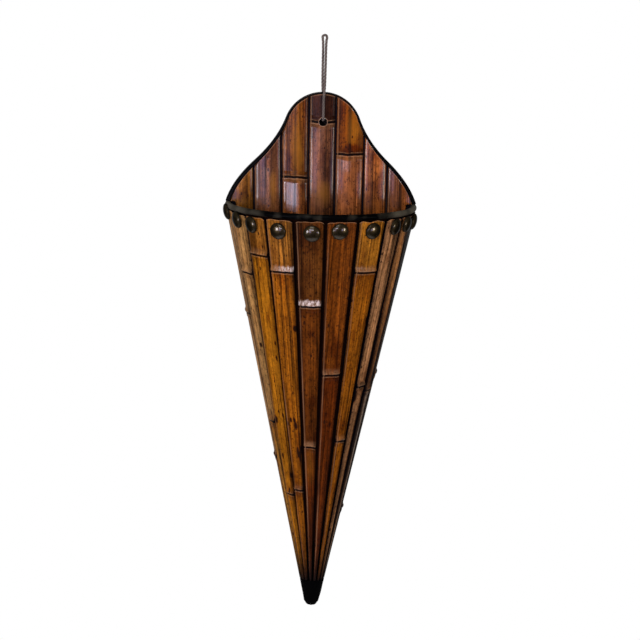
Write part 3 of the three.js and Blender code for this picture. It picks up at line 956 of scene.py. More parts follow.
# Noise patterns of split bamboo: width and length of a grain in millimetres, detail, roughness.
# Fibres are 0.3 mm wide on real bamboo; here 1 mm, the finest that the picture shows.
BAMBOO_GRAINS = {
    "fibre": (1.0, 50, 3.0, 0.5),
    "pore": (1.3, 90, 1.0, 0.5),
    "vein": (3.4, 90, 2.0, 0.5),
    "line": (1.9, 170, 1.0, 0.5),
    "tone": (13, 60, 2.0, 0.5),
    "smoke": (7, 20, 4.0, 0.62),
    "chips": (1.6, 3.2, 3.0, 0.7),
    "speck": (1.1, 1.7, 2.0, 0.5),
    "mottle": (2.4, 3.6, 3.0, 0.5),
    "streak": (0.9, 9, 2.0, 0.5),
}
# Lighter and darker with a pattern: its range, then the darkest and the lightest share of the stain
BAMBOO_SHADES = (
    ("tone", 0.3, 0.7, 0.72, 1.3),
    ("vein", 0.3, 0.7, 0.84, 1.16),
    ("line", 0.36, 0.64, 0.7, 1.28),
    ("fibre", 0.3, 0.7, 0.56, 1.46),
    ("pore", 0.37, 0.47, 0.45, 1.08),
    ("speck", 0.32, 0.42, 0.35, 1.04),
    ("mottle", 0.32, 0.68, 0.74, 1.24),
    # Darker towards the tip: painted shade, as the light falls off lower down
    ("high", -300 * MM, -90 * MM, 0.8, 1.0),
)
# Dark spots: size of a cell in millimetres, and how far the spots differ in size
BAMBOO_SPOTS = {"freckle": (5, 9, 0.14), "scar": (2.8, 5.5, 0.3)}
# A value worked out from two others: the first times a factor, and the second added. There is more smoke
# near the joints and on the scorched patches, and a torn lip ends streak by streak.
BAMBOO_SUMS = (
    ("smoked", "near", 0.16, "smoke"),
    ("scorched", "scorch", 0.3, "smoked"),
    ("char", "chips", 1.5, "scorch"),
    ("ragged", "streak", -6 * MM, "joint"),
    ("charred", "smoke", 16 * MM, "high"),
)
# Where a mark shows: ramps multiplied together, each from the value with none of it to the value with all
NEAR_JOINT = ("near", 0.5, 0.6)
BAMBOO_MARKS = {
    "burnt": (("scorched", 0.5, 0.72),),
    "freckle": (("freckle", 0.2, 0.14), ("freckle pick", 0.74, 0.78)),
    "scar": (("scar", 0.2, 0.12), ("scar pick", 0.88, 0.9), ("tone", 0.5, 0.54)),
    "char": (("char", 1.9, 2.3),),
    "pale": (("scorch", 0.0, -0.7),),
    "tan": (
        NEAR_JOINT,
        ("joint", 0.6 * MM, 1.1 * MM),
        ("joint", 6.5 * MM, 2.5 * MM),
        ("chips", 0.25, 0.6),
        ("lip", 0.0, 0.4),
    ),
    "torn": (
        NEAR_JOINT,
        ("joint", 0.5 * MM, 0.9 * MM),
        ("ragged", 2.6 * MM, 0.8 * MM),
        ("chips", 0.36, 0.56),
        ("lip", 0.3, 0.9),
    ),
    # Painted shade under a joint's swelling
    "below": (NEAR_JOINT, ("joint", -5 * MM, -0.6 * MM), ("joint", 0.6 * MM, 0.2 * MM)),
    "ridge": (NEAR_JOINT, ("gap", 0.9 * MM, 1.2 * MM), ("gap", 2.0 * MM, 1.4 * MM), ("chips", 0.3, 0.6)),
    "groove": (NEAR_JOINT, ("gap", 1.1 * MM, 0.6 * MM)),
    # Darker towards a lath's long edges: stain pooled there, and painted shade falling into the seams
    "edge": (("edge", 2.6 * MM, 0.2 * MM),),
    # Painted highlight: a pale line along each lath's left edge, where light from the left catches the
    # rounded edge
    "rubbed": (
        ("edge", 0.4 * MM, 0.7 * MM),
        ("edge", 1.7 * MM, 1.1 * MM),
        ("across", 0.0, -1 * MM),
        ("vein", 0.38, 0.6),
    ),
    # Painted highlight along the sawn top edge of each lath
    "lit top edge": (("end", 0.7 * MM, 0.25 * MM),),
    # Painted shade: the sides of each lath, down in the seams, are coloured near black
    "side": (("face", 0.98, 0.72),),
    "bore": (("hole", HOLE_R + 0.9 * MM, HOLE_R + 0.4 * MM), ("face", 0.6, 0.9)),
    "charred": (("charred", -278 * MM, -305 * MM),),
}
# What a mark does to the colour: it multiplies it or covers it with a colour, by a share
BAMBOO_LAYERS = (
    ("pale", "MIX", "#8a5614", 0.6),
    # Burning also darkens the painted shadow at strip 5's top
    ("burnt", "MULTIPLY", "#ad937c", 1.0),
    ("freckle", "MIX", "#160904", 0.85),
    ("scar", "MIX", "#1d0b04", 0.85),
    # Charring also paints the shade of the strongest patches on strips 8 and 9
    ("char", "MIX", "#140804", 0.93),
    ("tan", "MIX", "#8f6a48", 0.5),
    ("torn", "MIX", "#b9aaa2", 0.85),
    # Painted shade under a joint's swelling
    ("below", "MULTIPLY", "#bcbcbc", 0.35),
    ("ridge", "MIX", "#9a7450", 0.35),
    ("groove", "MIX", "#050202", 0.97),
    # Stain pooled at the long edges, and painted shade towards the seams
    ("edge", "MULTIPLY", "#bcbcbc", 1.0),
    # Painted highlight along the left edges
    ("rubbed", "MIX", "#8c6446", 0.4),
    # Painted highlight along the sawn top edge
    ("lit top edge", "MIX", "#a87a55", 0.3),
    # Painted shade on the lath sides in the seams
    ("side", "MIX", "#07060a", 1.0),
    ("bore", "MIX", "#8a6a52", 0.75),
    ("charred", "MIX", "#070404", 1.0),
)
# Where the gloss is dulled: a ramp from the value with the least of it to the value with all, and the least
BAMBOO_DULLED = (
    ("near", 0.95, 0.77, 0.15),
    ("fibre", 0.35, 0.6, 0.45),
    ("high", -80 * MM, -15 * MM, 0.4),
)


def split_bamboo(name, scorch, glare, edge_glare, freckles):
    """Split bamboo, stained, scorched and lacquered by hand: fine straight fibres under a clear gloss, each
    length in its own brown, burnt smudges, freckles and bud scars, and joints with a dark line and a lip
    that is torn to pale wood. Some of the colour is painted light: shade under the joints, along the edges,
    on the sides, towards the tip, in some patches and over whole lengths, and highlights along the left and
    top edges and down one length."""
    material, tree = new_material(name)
    stain = add(tree, "ShaderNodeAttribute", attribute_name="stain")
    value = {}
    for label in ("across", "edge", "joint", "near", "lip", "face", "end", "seed", "scorch"):
        value[label] = add(tree, "ShaderNodeAttribute", attribute_name=label).outputs["Fac"]
    place = add(tree, "ShaderNodeTexCoord").outputs["Object"]
    value["high"] = add(tree, "ShaderNodeSeparateXYZ", {0: place}).outputs["Z"]
    value["gap"] = add(tree, "ShaderNodeMath", {0: value["joint"]}, operation="ABSOLUTE")
    from_hole = add(tree, "ShaderNodeVectorMath", {0: place, 1: (0.0, 0.0, HOLE_Z)}, operation="SUBTRACT")
    from_hole = add(tree, "ShaderNodeVectorMath", {0: from_hole, 1: (1.0, 0.0, 1.0)}, operation="MULTIPLY")
    value["hole"] = add(tree, "ShaderNodeVectorMath", {0: from_hole}, operation="LENGTH").outputs["Value"]
    grain = add(tree, "ShaderNodeCombineXYZ", {0: value["across"], 1: value["seed"], 2: value["high"]})
    for label, (wide, long, detail, rough) in BAMBOO_GRAINS.items():
        scale = (1 / (wide * MM), 1.0, 1 / (long * MM))
        spot = add(tree, "ShaderNodeVectorMath", {0: grain, 1: scale}, operation="MULTIPLY")
        value[label] = add(
            tree, "ShaderNodeTexNoise", {"Vector": spot, "Scale": 1.0, "Detail": detail, "Roughness": rough}
        )
    flat = add(tree, "ShaderNodeCombineXYZ", {0: value["across"], 1: value["high"], 2: value["seed"]})
    apart = add(tree, "ShaderNodeCombineXYZ", {0: value["seed"], 1: value["seed"]})
    for label, (wide, long, spread) in BAMBOO_SPOTS.items():
        scale = (1 / (wide * MM), 1 / (long * MM), 1.0)
        spot = add(tree, "ShaderNodeVectorMath", {0: flat, 1: scale, 2: apart}, operation="MULTIPLY_ADD")
        cell = add(tree, "ShaderNodeTexVoronoi", {"Vector": spot, "Scale": 1.0}, voronoi_dimensions="2D")
        pick = add(tree, "ShaderNodeSeparateColor", {0: cell.outputs["Color"]})
        away = cell.outputs["Distance"]
        for ragged, by in ((pick.outputs[1], -spread), (value["chips"], 0.3)):
            away = add(tree, "ShaderNodeMath", {0: ragged, 1: by, 2: away}, operation="MULTIPLY_ADD")
        value[label] = away
        value[label + " pick"] = pick.outputs[0]
    value["freckle pick"] = add(
        tree, "ShaderNodeMath", {0: value["freckle pick"], 1: freckles}, operation="ADD"
    )

    for label, first, factor, second in BAMBOO_SUMS:
        parts = {0: value[first], 1: factor, 2: value[second]}
        value[label] = add(tree, "ShaderNodeMath", parts, operation="MULTIPLY_ADD")

    colour = stain.outputs["Color"]
    for label, low, top, dark, light in BAMBOO_SHADES:
        share = add(tree, "ShaderNodeMapRange", {0: value[label], 1: low, 2: top, 3: dark, 4: light})
        colour = add(tree, "ShaderNodeVectorMath", {0: colour, "Scale": share}, operation="SCALE")
    mark = {}
    for label, ramps in BAMBOO_MARKS.items():
        mark[label] = scorch if label == "burnt" else 1.0
        for source, none, full in ramps:
            share = add(tree, "ShaderNodeMapRange", {0: value[source], 1: none, 2: full})
            mark[label] = add(tree, "ShaderNodeMath", {0: mark[label], 1: share}, operation="MULTIPLY")
    for label, blend, tint, share in BAMBOO_LAYERS:
        part = add(tree, "ShaderNodeMath", {0: mark[label], 1: share}, operation="MULTIPLY")
        colour = add(
            tree,
            "ShaderNodeMix",
            {0: part, 6: colour, 7: (*linear(tint), 1)},
            data_type="RGBA",
            blend_type=blend,
        ).outputs[2]

    # Fibres stand up, scars are sunk and torn wood is rough and matt; the gloss is brushed on unevenly
    height = add(tree, "ShaderNodeMath", {0: mark["torn"], 1: value["chips"]}, operation="MULTIPLY")
    height = add(tree, "ShaderNodeMath", {0: value["fibre"], 1: 0.5, 2: height}, operation="MULTIPLY_ADD")
    height = add(tree, "ShaderNodeMath", {0: mark["scar"], 1: -0.5, 2: height}, operation="MULTIPLY_ADD")
    bump = add(tree, "ShaderNodeBump", {"Strength": 0.55, "Distance": 0.16 * MM, "Height": height})
    matt = add(tree, "ShaderNodeMapRange", {0: value["fibre"], 1: 0.3, 2: 0.7, 3: 0.34, 4: 0.5})
    matt = add(tree, "ShaderNodeMath", {0: mark["torn"], 1: 0.3, 2: matt}, operation="MULTIPLY_ADD")
    gloss = add(tree, "ShaderNodeMath", {0: stain.outputs["Alpha"], 1: glare}, operation="MULTIPLY")
    for label, none, full, least in (("edge", 0.3 * MM, 1.6 * MM, edge_glare), *BAMBOO_DULLED):
        share = add(tree, "ShaderNodeMapRange", {0: value[label], 1: none, 2: full, 3: least})
        gloss = add(tree, "ShaderNodeMath", {0: gloss, 1: share}, operation="MULTIPLY")
    shader = add(
        tree,
        "ShaderNodeBsdfPrincipled",
        {
            "Base Color": colour,
            "Roughness": matt,
            "IOR": 1.5,
            "Specular IOR Level": 0.03,
            "Coat Weight": gloss,
            "Coat Roughness": 0.19,
            "Coat Normal": bump,
            "Normal": bump,
        },
    )
    add(tree, "ShaderNodeOutputMaterial", {"Surface": shader})
    return material


# Where the ground shows through the lacquer: nowhere; at the rim's ends, as painted sheen where the cane
# catches the light; and on the unpainted back. An axis, the distances along it where this starts and is
# full, and its share there
NO_WEAR = ("X", 0, 1, 0.0)
RIM_END_SHEEN = ("X", 0.4 * RIM_R, 0.95 * RIM_R, 0.52)
BACK_WEAR = ("Y", 0.6 * BOARD_T, 0.2 * BOARD_T, 0.5)


def lacquer(name, colour, ground, shine, grain, depth, wear_and_sheen=NO_WEAR, gleam=0.03):
    """Black lacquer on wood or cane: brushed by hand, so the gloss is uneven and the ground shows as brown
    where it is thin or worn. Along one axis the ground can be brought up further; at the rim's ends that is
    painted sheen."""
    material, tree = new_material(name)
    place = add(tree, "ShaderNodeTexCoord").outputs["Object"]
    thin = add(tree, "ShaderNodeTexNoise", {"Vector": place, "Scale": 1 / (15 * MM), "Detail": 2.0})
    axis, start, full, share = wear_and_sheen
    side = add(tree, "ShaderNodeSeparateXYZ", {0: place}).outputs[axis]
    side = add(tree, "ShaderNodeMath", {0: side}, operation="ABSOLUTE")
    # The ground brought up along one axis; at the rim's ends this is painted sheen
    worn = add(tree, "ShaderNodeMapRange", {0: side, 1: start, 2: full, 4: share})
    thin = add(tree, "ShaderNodeMath", {0: thin, 1: worn}, operation="ADD")
    thin = add(tree, "ShaderNodeMapRange", {0: thin, 1: 0.55, 2: 1.1}).outputs[0]
    tint = add(tree, "ShaderNodeMix", {0: thin, 6: (*colour, 1), 7: (*ground, 1)}, data_type="RGBA")
    lumps = add(tree, "ShaderNodeTexNoise", {"Vector": place, "Scale": 1 / grain, "Detail": 3.0})
    gloss = add(tree, "ShaderNodeMapRange", {0: lumps, 1: 0.3, 2: 0.7, 3: shine, 4: shine + 0.2}).outputs[0]
    bump = add(tree, "ShaderNodeBump", {"Strength": 0.6, "Distance": depth, "Height": lumps})
    shader = add(
        tree,
        "ShaderNodeBsdfPrincipled",
        {
            "Base Color": tint.outputs[2],
            "Roughness": gloss,
            "IOR": 1.5,
            "Specular IOR Level": gleam,
            "Normal": bump,
        },
    )
    add(tree, "ShaderNodeOutputMaterial", {"Surface": shader})
    return material


def antique_brass(colours):
    """Brass nails aged by a dark wash: olive-black in the hollows and round the edge, metal bright where
    hands rub the dome."""
    material, tree = new_material("Antique brass, dark washed")
    place = add(tree, "ShaderNodeTexCoord").outputs["Object"]
    dome = add(tree, "ShaderNodeAttribute", attribute_name="dome").outputs["Fac"]
    blots = add(
        tree,
        "ShaderNodeTexNoise",
        {"Vector": place, "Scale": 1 / (2.6 * MM), "Detail": 4.0, "Roughness": 0.6},
    )
    worn = add(tree, "ShaderNodeMath", {0: dome, 1: 0.55, 2: blots}, operation="MULTIPLY_ADD")
    worn = add(tree, "ShaderNodeMapRange", {0: worn, 1: 0.5, 2: 1.05}).outputs[0]
    tint = add(
        tree,
        "ShaderNodeMix",
        {0: worn, 6: (*colours.patina, 1), 7: (*colours.brass, 1)},
        data_type="RGBA",
    )
    gloss = add(tree, "ShaderNodeMapRange", {0: worn, 1: 0.0, 2: 1.0, 3: 0.5, 4: 0.32}).outputs[0]
    bare = add(tree, "ShaderNodeMapRange", {0: worn, 1: 0.0, 2: 0.8, 3: 0.1, 4: 1.0}).outputs[0]
    clear = add(tree, "ShaderNodeMapRange", {0: dome, 1: 0.3, 2: 0.75, 3: 0.03, 4: 0.6}).outputs[0]
    fine = add(tree, "ShaderNodeTexNoise", {"Vector": place, "Scale": 1 / (0.9 * MM), "Detail": 2.0})
    bump = add(tree, "ShaderNodeBump", {"Strength": 0.03, "Distance": 0.05 * MM, "Height": fine})
    shader = add(
        tree,
        "ShaderNodeBsdfPrincipled",
        {
            "Base Color": tint.outputs[2],
            "Metallic": bare,
            "Roughness": gloss,
            "Specular IOR Level": 0.1,
            "Specular Tint": (*linear("#6a5f48"), 1),
            "Coat Weight": clear,
            "Coat Roughness": 0.11,
            "Normal": bump,
        },
    )
    add(tree, "ShaderNodeOutputMaterial", {"Surface": shader})
    return material


def twine(colours):
    """Twisted vegetable-fibre twine: matt and dusty, with painted shade between the plies and inside the
    hole, and loose pale fibres.
    """
    material, tree = new_material("Twisted twine")
    place = add(tree, "ShaderNodeTexCoord").outputs["Object"]
    ply = add(tree, "ShaderNodeAttribute", attribute_name="ply").outputs["Fac"]
    # loose fibres are 0.05 mm thick; drawn at 0.4 mm, the finest that a close view shows
    hairs = add(tree, "ShaderNodeTexNoise", {"Vector": place, "Scale": 1 / (0.4 * MM), "Detail": 3.0})
    dust = add(tree, "ShaderNodeTexNoise", {"Vector": place, "Scale": 1 / (7 * MM), "Detail": 2.0})
    # inside the hole and at the knot the twine is darkened: painted shade where the board closes round it
    _, y, z = add(tree, "ShaderNodeSeparateXYZ", {0: place}).outputs
    inside = add(tree, "ShaderNodeMapRange", {0: y, 1: SLAT_FRONT_Y, 2: -BOARD_T})
    beside = add(tree, "ShaderNodeMapRange", {0: z, 1: HOLE_Z + 2 * HOLE_R, 2: HOLE_Z + HOLE_R})
    hole_shade = add(tree, "ShaderNodeMath", {0: inside, 1: beside}, operation="MULTIPLY")
    share = 1.0
    for source, low, top, dark, light in (
        # painted shade in the grooves between the plies
        (ply, 0.1, 0.8, 0.3, 1.05),
        (hairs, 0.3, 0.7, 0.7, 1.35),
        (dust, 0.3, 0.7, 0.82, 1.15),
        # painted shade inside the hole
        (hole_shade, 0.0, 1.0, 1.0, 0.12),
    ):
        part = add(tree, "ShaderNodeMapRange", {0: source, 1: low, 2: top, 3: dark, 4: light})
        share = add(tree, "ShaderNodeMath", {0: share, 1: part}, operation="MULTIPLY")
    tint = add(tree, "ShaderNodeVectorMath", {0: tuple(colours.twine), "Scale": share}, operation="SCALE")
    bump = add(tree, "ShaderNodeBump", {"Strength": 0.7, "Distance": 0.15 * MM, "Height": hairs})
    shader = add(
        tree,
        "ShaderNodeBsdfPrincipled",
        {"Base Color": tint, "Roughness": 0.9, "Specular IOR Level": 0.2, "Normal": bump},
    )
    add(tree, "ShaderNodeOutputMaterial", {"Surface": shader})
    return material


# Outlines and blanks

# Faces of a lath: columns in its middle, and the step down it, which is finer beside a joint
MIDDLE_COLUMNS = 20
ROW_STEP = 1.5 * MM
JOINT_STEP = 0.4 * MM
JOINT_ROWS = 16
# A joint's line runs askew and bowed, as the cane grew: its slant, its bow to the metre, and its ripple
JOINT_TILT = 0.1
JOINT_BOW = 9.0
JOINT_RIPPLE = 0.35 * MM
JOINT_RIPPLE_RUN = 3 * MM
STAIN_BLEND = 3 * MM
# A strip's edges waver as a knife leaves them, and its worn corners nip it in at a joint
WIDTH_WAVER = 0.2 * MM
WIDTH_WAVER_RUN = 14 * MM
SIDE_WAVER = 0.1 * MM
SIDE_WAVER_RUN = 19 * MM
JOINT_NIP = 0.8 * MM
JOINT_NIP_RUN = 1.6 * MM
# A strip's top is sawn by eye: wavy, and knocked off at the corners
TOP_WAVE = 1.0 * MM
TOP_WAVE_RUN = 7 * MM
TOP_CORNER = 1.1 * MM
TOP_CORNER_RUN = 2.4 * MM
TOP_REACH = 12 * MM
# A slat's ends are cut to a curve, so its rows close up there
SLAT_END = 2 * MM
SLAT_END_ROWS = 8
SHORT_SLAT_ROWS = 60
# The ogee slants, so the way straight to it is about this share of the way up to it
OGEE_SLANT = 0.7


def crown_outline(steps=28):
    """Right half of the panel's ogee top, from the rim corner to the peak, in rows of place, outward normal
    and width of the binding."""
    corner = Vector((cone_r(CORNER_Z) - BOARD_INSET, CORNER_Z))
    neck = Vector((CROWN_R * math.sin(CROWN_TURN), PEAK_Z - CROWN_R * (1 - math.cos(CROWN_TURN))))
    turn = corner.lerp(neck, 1 - SWEEP_SHARE)
    places = []
    bends = ((corner, CORNER_TURN, turn, SWEEP_TURN), (turn, SWEEP_TURN, neck, math.pi / 2 - CROWN_TURN))
    for start, slant, stop, slant_after in bends:
        reach = (stop - start).length / 3
        leave = start + reach * Vector((-math.sin(slant), math.cos(slant)))
        arrive = stop - reach * Vector((-math.sin(slant_after), math.cos(slant_after)))
        for i in range(steps):
            t = i / steps
            s = 1 - t
            places.append(s**3 * start + 3 * s * s * t * leave + 3 * s * t * t * arrive + t**3 * stop)
    for i in range(steps + 1):
        angle = CROWN_TURN * (1 - i / steps)
        places.append(Vector((CROWN_R * math.sin(angle), PEAK_Z - CROWN_R * (1 - math.cos(angle)))))
    rows = []
    last = len(places) - 1
    for i, place in enumerate(places):
        along = (places[min(i + 1, last)] - places[max(i - 1, 0)]).normalized()
        out = Vector((along.y, -along.x))
        rows.append((place, out, lerp(BIND_CORNER, BIND_CROWN, i / last)))
    # cut level where the binding stands on the rim trim, and upright at the peak
    rows[0] = (rows[0][0], Vector((1, 0)), rows[0][2])
    rows[-1] = (rows[-1][0], Vector((0, 1)), rows[-1][2])
    return rows


def field_rows(gap=FIT):
    """Half widths and heights of the panel's field, inside the binding."""
    return [tuple(place - out * (width + gap)) for place, out, width in crown_outline()]


def read_across(rows, x):
    """Height of the field's outline over a distance from the middle."""
    for (x0, z0), (x1, z1) in zip(rows, rows[1:]):
        if x1 <= x <= x0:
            return lerp(z0, z1, (x0 - x) / max(x0 - x1, 1e-9))
    return rows[0][1] if x > rows[0][0] else rows[-1][1]


def columns_of(width, edge_round):
    """Places across a lath, closer together on its rounded edges."""
    half = width / 2
    near = [k * min(edge_round, width / 6) for k in (0, 0.1, 0.3, 0.6, 1)]
    inner = half - near[-1]
    middle = [inner * (1 - 2 * k / MIDDLE_COLUMNS) for k in range(1, MIDDLE_COLUMNS)]
    right = [half - k for k in near]
    return [-u for u in right] + middle[::-1] + right[::-1]


def rows_between(top, bottom, joints):
    """Heights down a lath, closer together round a joint."""
    count = max(2, round((top - bottom) / ROW_STEP))
    heights = {round(lerp(top, bottom, i / count), 6) for i in range(count + 1)}
    reach = (JOINT_ROWS + 1) * JOINT_STEP
    for at in joints:
        close = [at + JOINT_STEP * k for k in range(-JOINT_ROWS, JOINT_ROWS + 1)]
        heights = {z for z in heights if abs(z - at) > reach or z in (top, bottom)}
        heights |= {round(z, 6) for z in close if bottom + MM < z < top - MM}
    heights |= {round(top, 6), round(bottom, 6)}
    return sorted(heights, reverse=True)


def patch(marks, across, z):
    """How strongly oval patches mark a point. A patch has its height, its place across, its half width, its
    half height and its strength."""
    total = 0.0
    for at, aside, wide, tall, strength in marks:
        away = math.hypot((across / MM - aside) / wide, (z / MM - at) / tall)
        total += strength * max(0.0, 1 - away)
    return total


def blank(name, grid, side, joints, lips, stains, shines, seed, scorches, warp=NO_WARP):
    """A flat lath with the attributes that its shape and finish are read from. The grid has rows from the
    top down of (x, z, across, edge, end)."""
    wide = len(grid[0])
    points = [(x, 0.0, z) for row in grid for x, z, _, _, _ in row]
    faces = []
    for r in range(len(grid) - 1):
        for c in range(wide - 1):
            a = r * wide + c
            faces.append((a, a + wide, a + wide + 1, a + 1))
    mesh = mesh_from(name, points, faces)
    shares = [(*linear(STAINS[stain]), shine) for stain, shine in zip(stains, shines)]
    lines = []
    for k, at in enumerate(joints):
        tilt = JOINT_TILT * noise.noise(Vector((seed, k, 0.3)))
        bow = JOINT_BOW * noise.noise(Vector((seed, k, 7.7)))
        lines.append((at * MM, tilt, bow))
    forward, start, run = warp
    values = {}
    tints = []
    for row in grid:
        half = max(across for _, _, across, _, _ in row)
        for x, z, across, edge, end in row:
            nearest = 1.0
            lip = 0.0
            colour = shares[0]
            for k, (at, tilt, bow) in enumerate(lines):
                ripple = JOINT_RIPPLE * noise.noise(Vector((across / JOINT_RIPPLE_RUN, seed, k)))
                away = side * (z - at - tilt * across - bow * across * across - ripple)
                if abs(away) < abs(nearest):
                    nearest = away
                    lip = lerp(*lips[k], 0.5 + 0.5 * across / half)
                past = min(max(0.5 - side * away / STAIN_BLEND, 0), 1)
                colour = [lerp(a, b, past) for a, b in zip(colour, shares[k + 1])]
            point = {
                "across": across,
                "edge": edge,
                "joint": nearest,
                "near": max(0.0, 1 - abs(nearest) / JOINT_SPAN),
                "lip": lip,
                "end": end,
                "seed": seed,
                "warp": forward * MM * min(max((start - z / MM) / run, 0), 1),
                "scorch": patch(scorches, across, z),
            }
            for label, number in point.items():
                values.setdefault(label, []).append(number)
            tints.extend(colour)
    for label, numbers in values.items():
        mesh.attributes.new(label, "FLOAT", "POINT").data.foreach_set("value", numbers)
    mesh.attributes.new("stain", "FLOAT_COLOR", "POINT").data.foreach_set("color", tints)
    return mesh


def seam_gap(seam, share):
    """Open gap of a seam at a share of the strips' length."""
    top, half, end = seam[2:]
    return MM * (lerp(top, half, 2 * share) if share < 0.5 else lerp(half, end, 2 * share - 1))


def strip_at(i, z):
    """A strip at a height: the angle of its middle, its width, and how far unequal gaps push it aside."""
    share = z / STRIP_END_Z
    left, right = STRIP_SEAMS[i], STRIP_SEAMS[i + 1]
    a, b = (math.radians(lerp(s[0], s[1], share)) for s in (left, right))
    gap_a, gap_b = (seam_gap(s, share) for s in (left, right))
    width = 2 * strip_in(z) * math.tan((b - a) / 2) - (gap_a + gap_b) / 2
    return (a + b) / 2, width, (gap_a - gap_b) / 4


def strip_blank(i, edge_round):
    """Blank of one front strip."""
    seed = 11.3 * (i + 1)
    grid = []
    joints = [j * MM for j in STRIP_JOINTS[i]]
    for z in rows_between(RIM_TOP_Z, STRIP_END_Z, joints):
        _, width, aside = strip_at(i, z)
        width -= WIDTH_WAVER * noise.noise(Vector((seed, z / WIDTH_WAVER_RUN, 0)))
        width -= JOINT_NIP * max(0.0, 1 - min(abs(z - j) for j in joints) / JOINT_NIP_RUN)
        aside += SIDE_WAVER * noise.noise(Vector((seed, z / SIDE_WAVER_RUN, 5)))
        stretch = edge_round / min(edge_round, width / 6)
        row = []
        near_top = max(0.0, 1 - (RIM_TOP_Z - z) / TOP_REACH)
        for u in columns_of(width, edge_round):
            wave = TOP_WAVE * (1 + noise.noise(Vector((u / TOP_WAVE_RUN, seed, 2))))
            corner = TOP_CORNER * max(0.0, 1 - (width / 2 - abs(u)) / TOP_CORNER_RUN) ** 2
            down = near_top * (wave + corner)
            row.append((u + aside, z - down, u, stretch * (width / 2 - abs(u)), RIM_TOP_Z - z))
        grid.append(row)
    return blank(
        f"strip_{i + 1:02d}",
        grid,
        side=1,
        joints=STRIP_JOINTS[i],
        lips=STRIP_LIPS[i],
        stains=STRIP_STAINS[i],
        shines=[1.0] * len(STRIP_STAINS[i]),
        seed=seed,
        scorches=[mark[1:] for mark in STRIP_SCORCHES_AND_SHADE if mark[0] == i + 1],
    )


def slat_blank(i, edge_round):
    """Blank of one slat of the back panel, cut to the ogee at the top and to the pocket's curve below."""
    seed = 7.9 * (i + 31)
    field = field_rows()
    half = cone_r(CORNER_Z) - BOARD_INSET
    floor = SPIGOT_TOP_Z + FIT
    low_slope = SLOPE - THINNING

    def sides(z):
        left, right = (half * lerp(s[0], s[1], z / PEAK_Z) for s in (SLAT_SEAMS[i], SLAT_SEAMS[i + 1]))
        left = max(left + SLAT_GAP / 2, -field[0][0])
        return left, min(right - SLAT_GAP / 2, field[0][0])

    def foot(x):
        return max(floor, min(CORNER_Z - FIT, (abs(x) + FIT - hoop_in(0)) / low_slope))

    left, right = sides(0)
    shares = [0.5 + u / (right - left) for u in columns_of(right - left, edge_round)]
    # the seams lean, so the ends of a column are closed in on
    ends = []
    for share in shares:
        top, bottom = 0.0, 0.0
        for _ in range(12):
            top = read_across(field, abs(lerp(*sides(top), share)))
            bottom = foot(lerp(*sides(bottom), share))
        ends.append((top, bottom))
    high = min(t for t, _ in ends) - SLAT_END
    low = max(b for _, b in ends) + SLAT_END
    joints = [j * MM for j in SLAT_JOINTS[i]]
    heights = []
    if high - low > 4 * SLAT_END:
        middle = rows_between(high, low, [j for j in joints if low < j < high])
        steps = [k / SLAT_END_ROWS for k in range(SLAT_END_ROWS + 1)]
        for top, bottom in ends:
            head = [lerp(top, high, step) for step in steps[:-1]]
            heights.append(head + middle + [lerp(low, bottom, step) for step in steps[1:]])
    else:
        steps = [k / SHORT_SLAT_ROWS for k in range(SHORT_SLAT_ROWS + 1)]
        for top, bottom in ends:
            heights.append([lerp(top, bottom, step) for step in steps])
    grid = []
    for r in range(len(heights[0])):
        row = []
        for share, column, (top, _) in zip(shares, heights, ends):
            z = column[r]
            a, b = sides(z)
            x = lerp(a, b, share)
            u = x - (a + b) / 2
            edge = min(x - a if i > 0 else 1.0, b - x if i < len(SLAT_JOINTS) - 1 else 1.0)
            row.append((x, z, u, edge, OGEE_SLANT * (top - z)))
        grid.append(row)
    return blank(
        f"slat_{i + 1}",
        grid,
        side=-1,
        joints=SLAT_JOINTS[i],
        lips=[SLAT_LIP] * len(SLAT_JOINTS[i]),
        stains=SLAT_STAINS[i],
        shines=SLAT_SHINES[i],
        seed=seed,
        warp=SLAT_WARPS[i],
        scorches=[mark[1:] for mark in SLAT_SCORCHES if mark[0] == i + 1],
    )


# Operators


class WALLPOCKET_OT_cord(bpy.types.Operator):
    """Lays the hanging cord along its route and ties the knot behind the board"""

    bl_idname = "wallpocket.cord"
    bl_label = "Cord and knot"

    def execute(self, context):
        settings = context.scene.wall_pocket
        fittings = settings.fittings
        tree = cord_tree()
        finish = twine(settings.colours)
        line = catmull([Vector(p) * MM for p in CORD_ROUTE], 6)
        cord = self.lay("cord", line, False, tree, finish, fittings, fittings.cord_pitch)
        knot_line = []
        for i in range(KNOT_STEPS):
            turn = 2 * math.pi * KNOT_TURNS * i / KNOT_STEPS
            bight = KNOT_BIGHTS / KNOT_TURNS * turn
            r = (KNOT_R + KNOT_SWING * math.cos(bight)) * MM
            deep = KNOT_DEPTH * MM * math.sin(bight)
            knot_line.append(Vector(KNOT_CENTRE) + Vector((r * math.sin(turn), deep, r * math.cos(turn))))
        around = sum((b - a).length for a, b in zip(knot_line, knot_line[1:] + knot_line[:1]))
        pitch = around / max(1, round(around / fittings.cord_pitch))
        knot = self.lay("knot", knot_line, True, tree, finish, fittings, pitch)
        finish_piece(cord, LOOP, ("hanging_cord",))
        finish_piece(knot, LOOP, ("cord_knot",))
        return {"FINISHED"}

    def lay(self, name, line, closed, tree, finish, fittings, pitch):
        data = bpy.data.curves.new(name, "CURVE")
        data.dimensions = "3D"
        spline = data.splines.new("POLY")
        spline.points.add(len(line) - 1)
        spline.use_cyclic_u = closed
        for point, place in zip(spline.points, line):
            point.co = (*place, 1)
        values = {
            "Diameter": fittings.cord_diameter,
            "Pitch": pitch,
            "Plies": fittings.cord_plies,
            "Groove": CORD_GROOVE,
            "Step": CORD_STEP,
            "Material": finish,
        }
        return run_tree(new_object(name, data), tree, values)


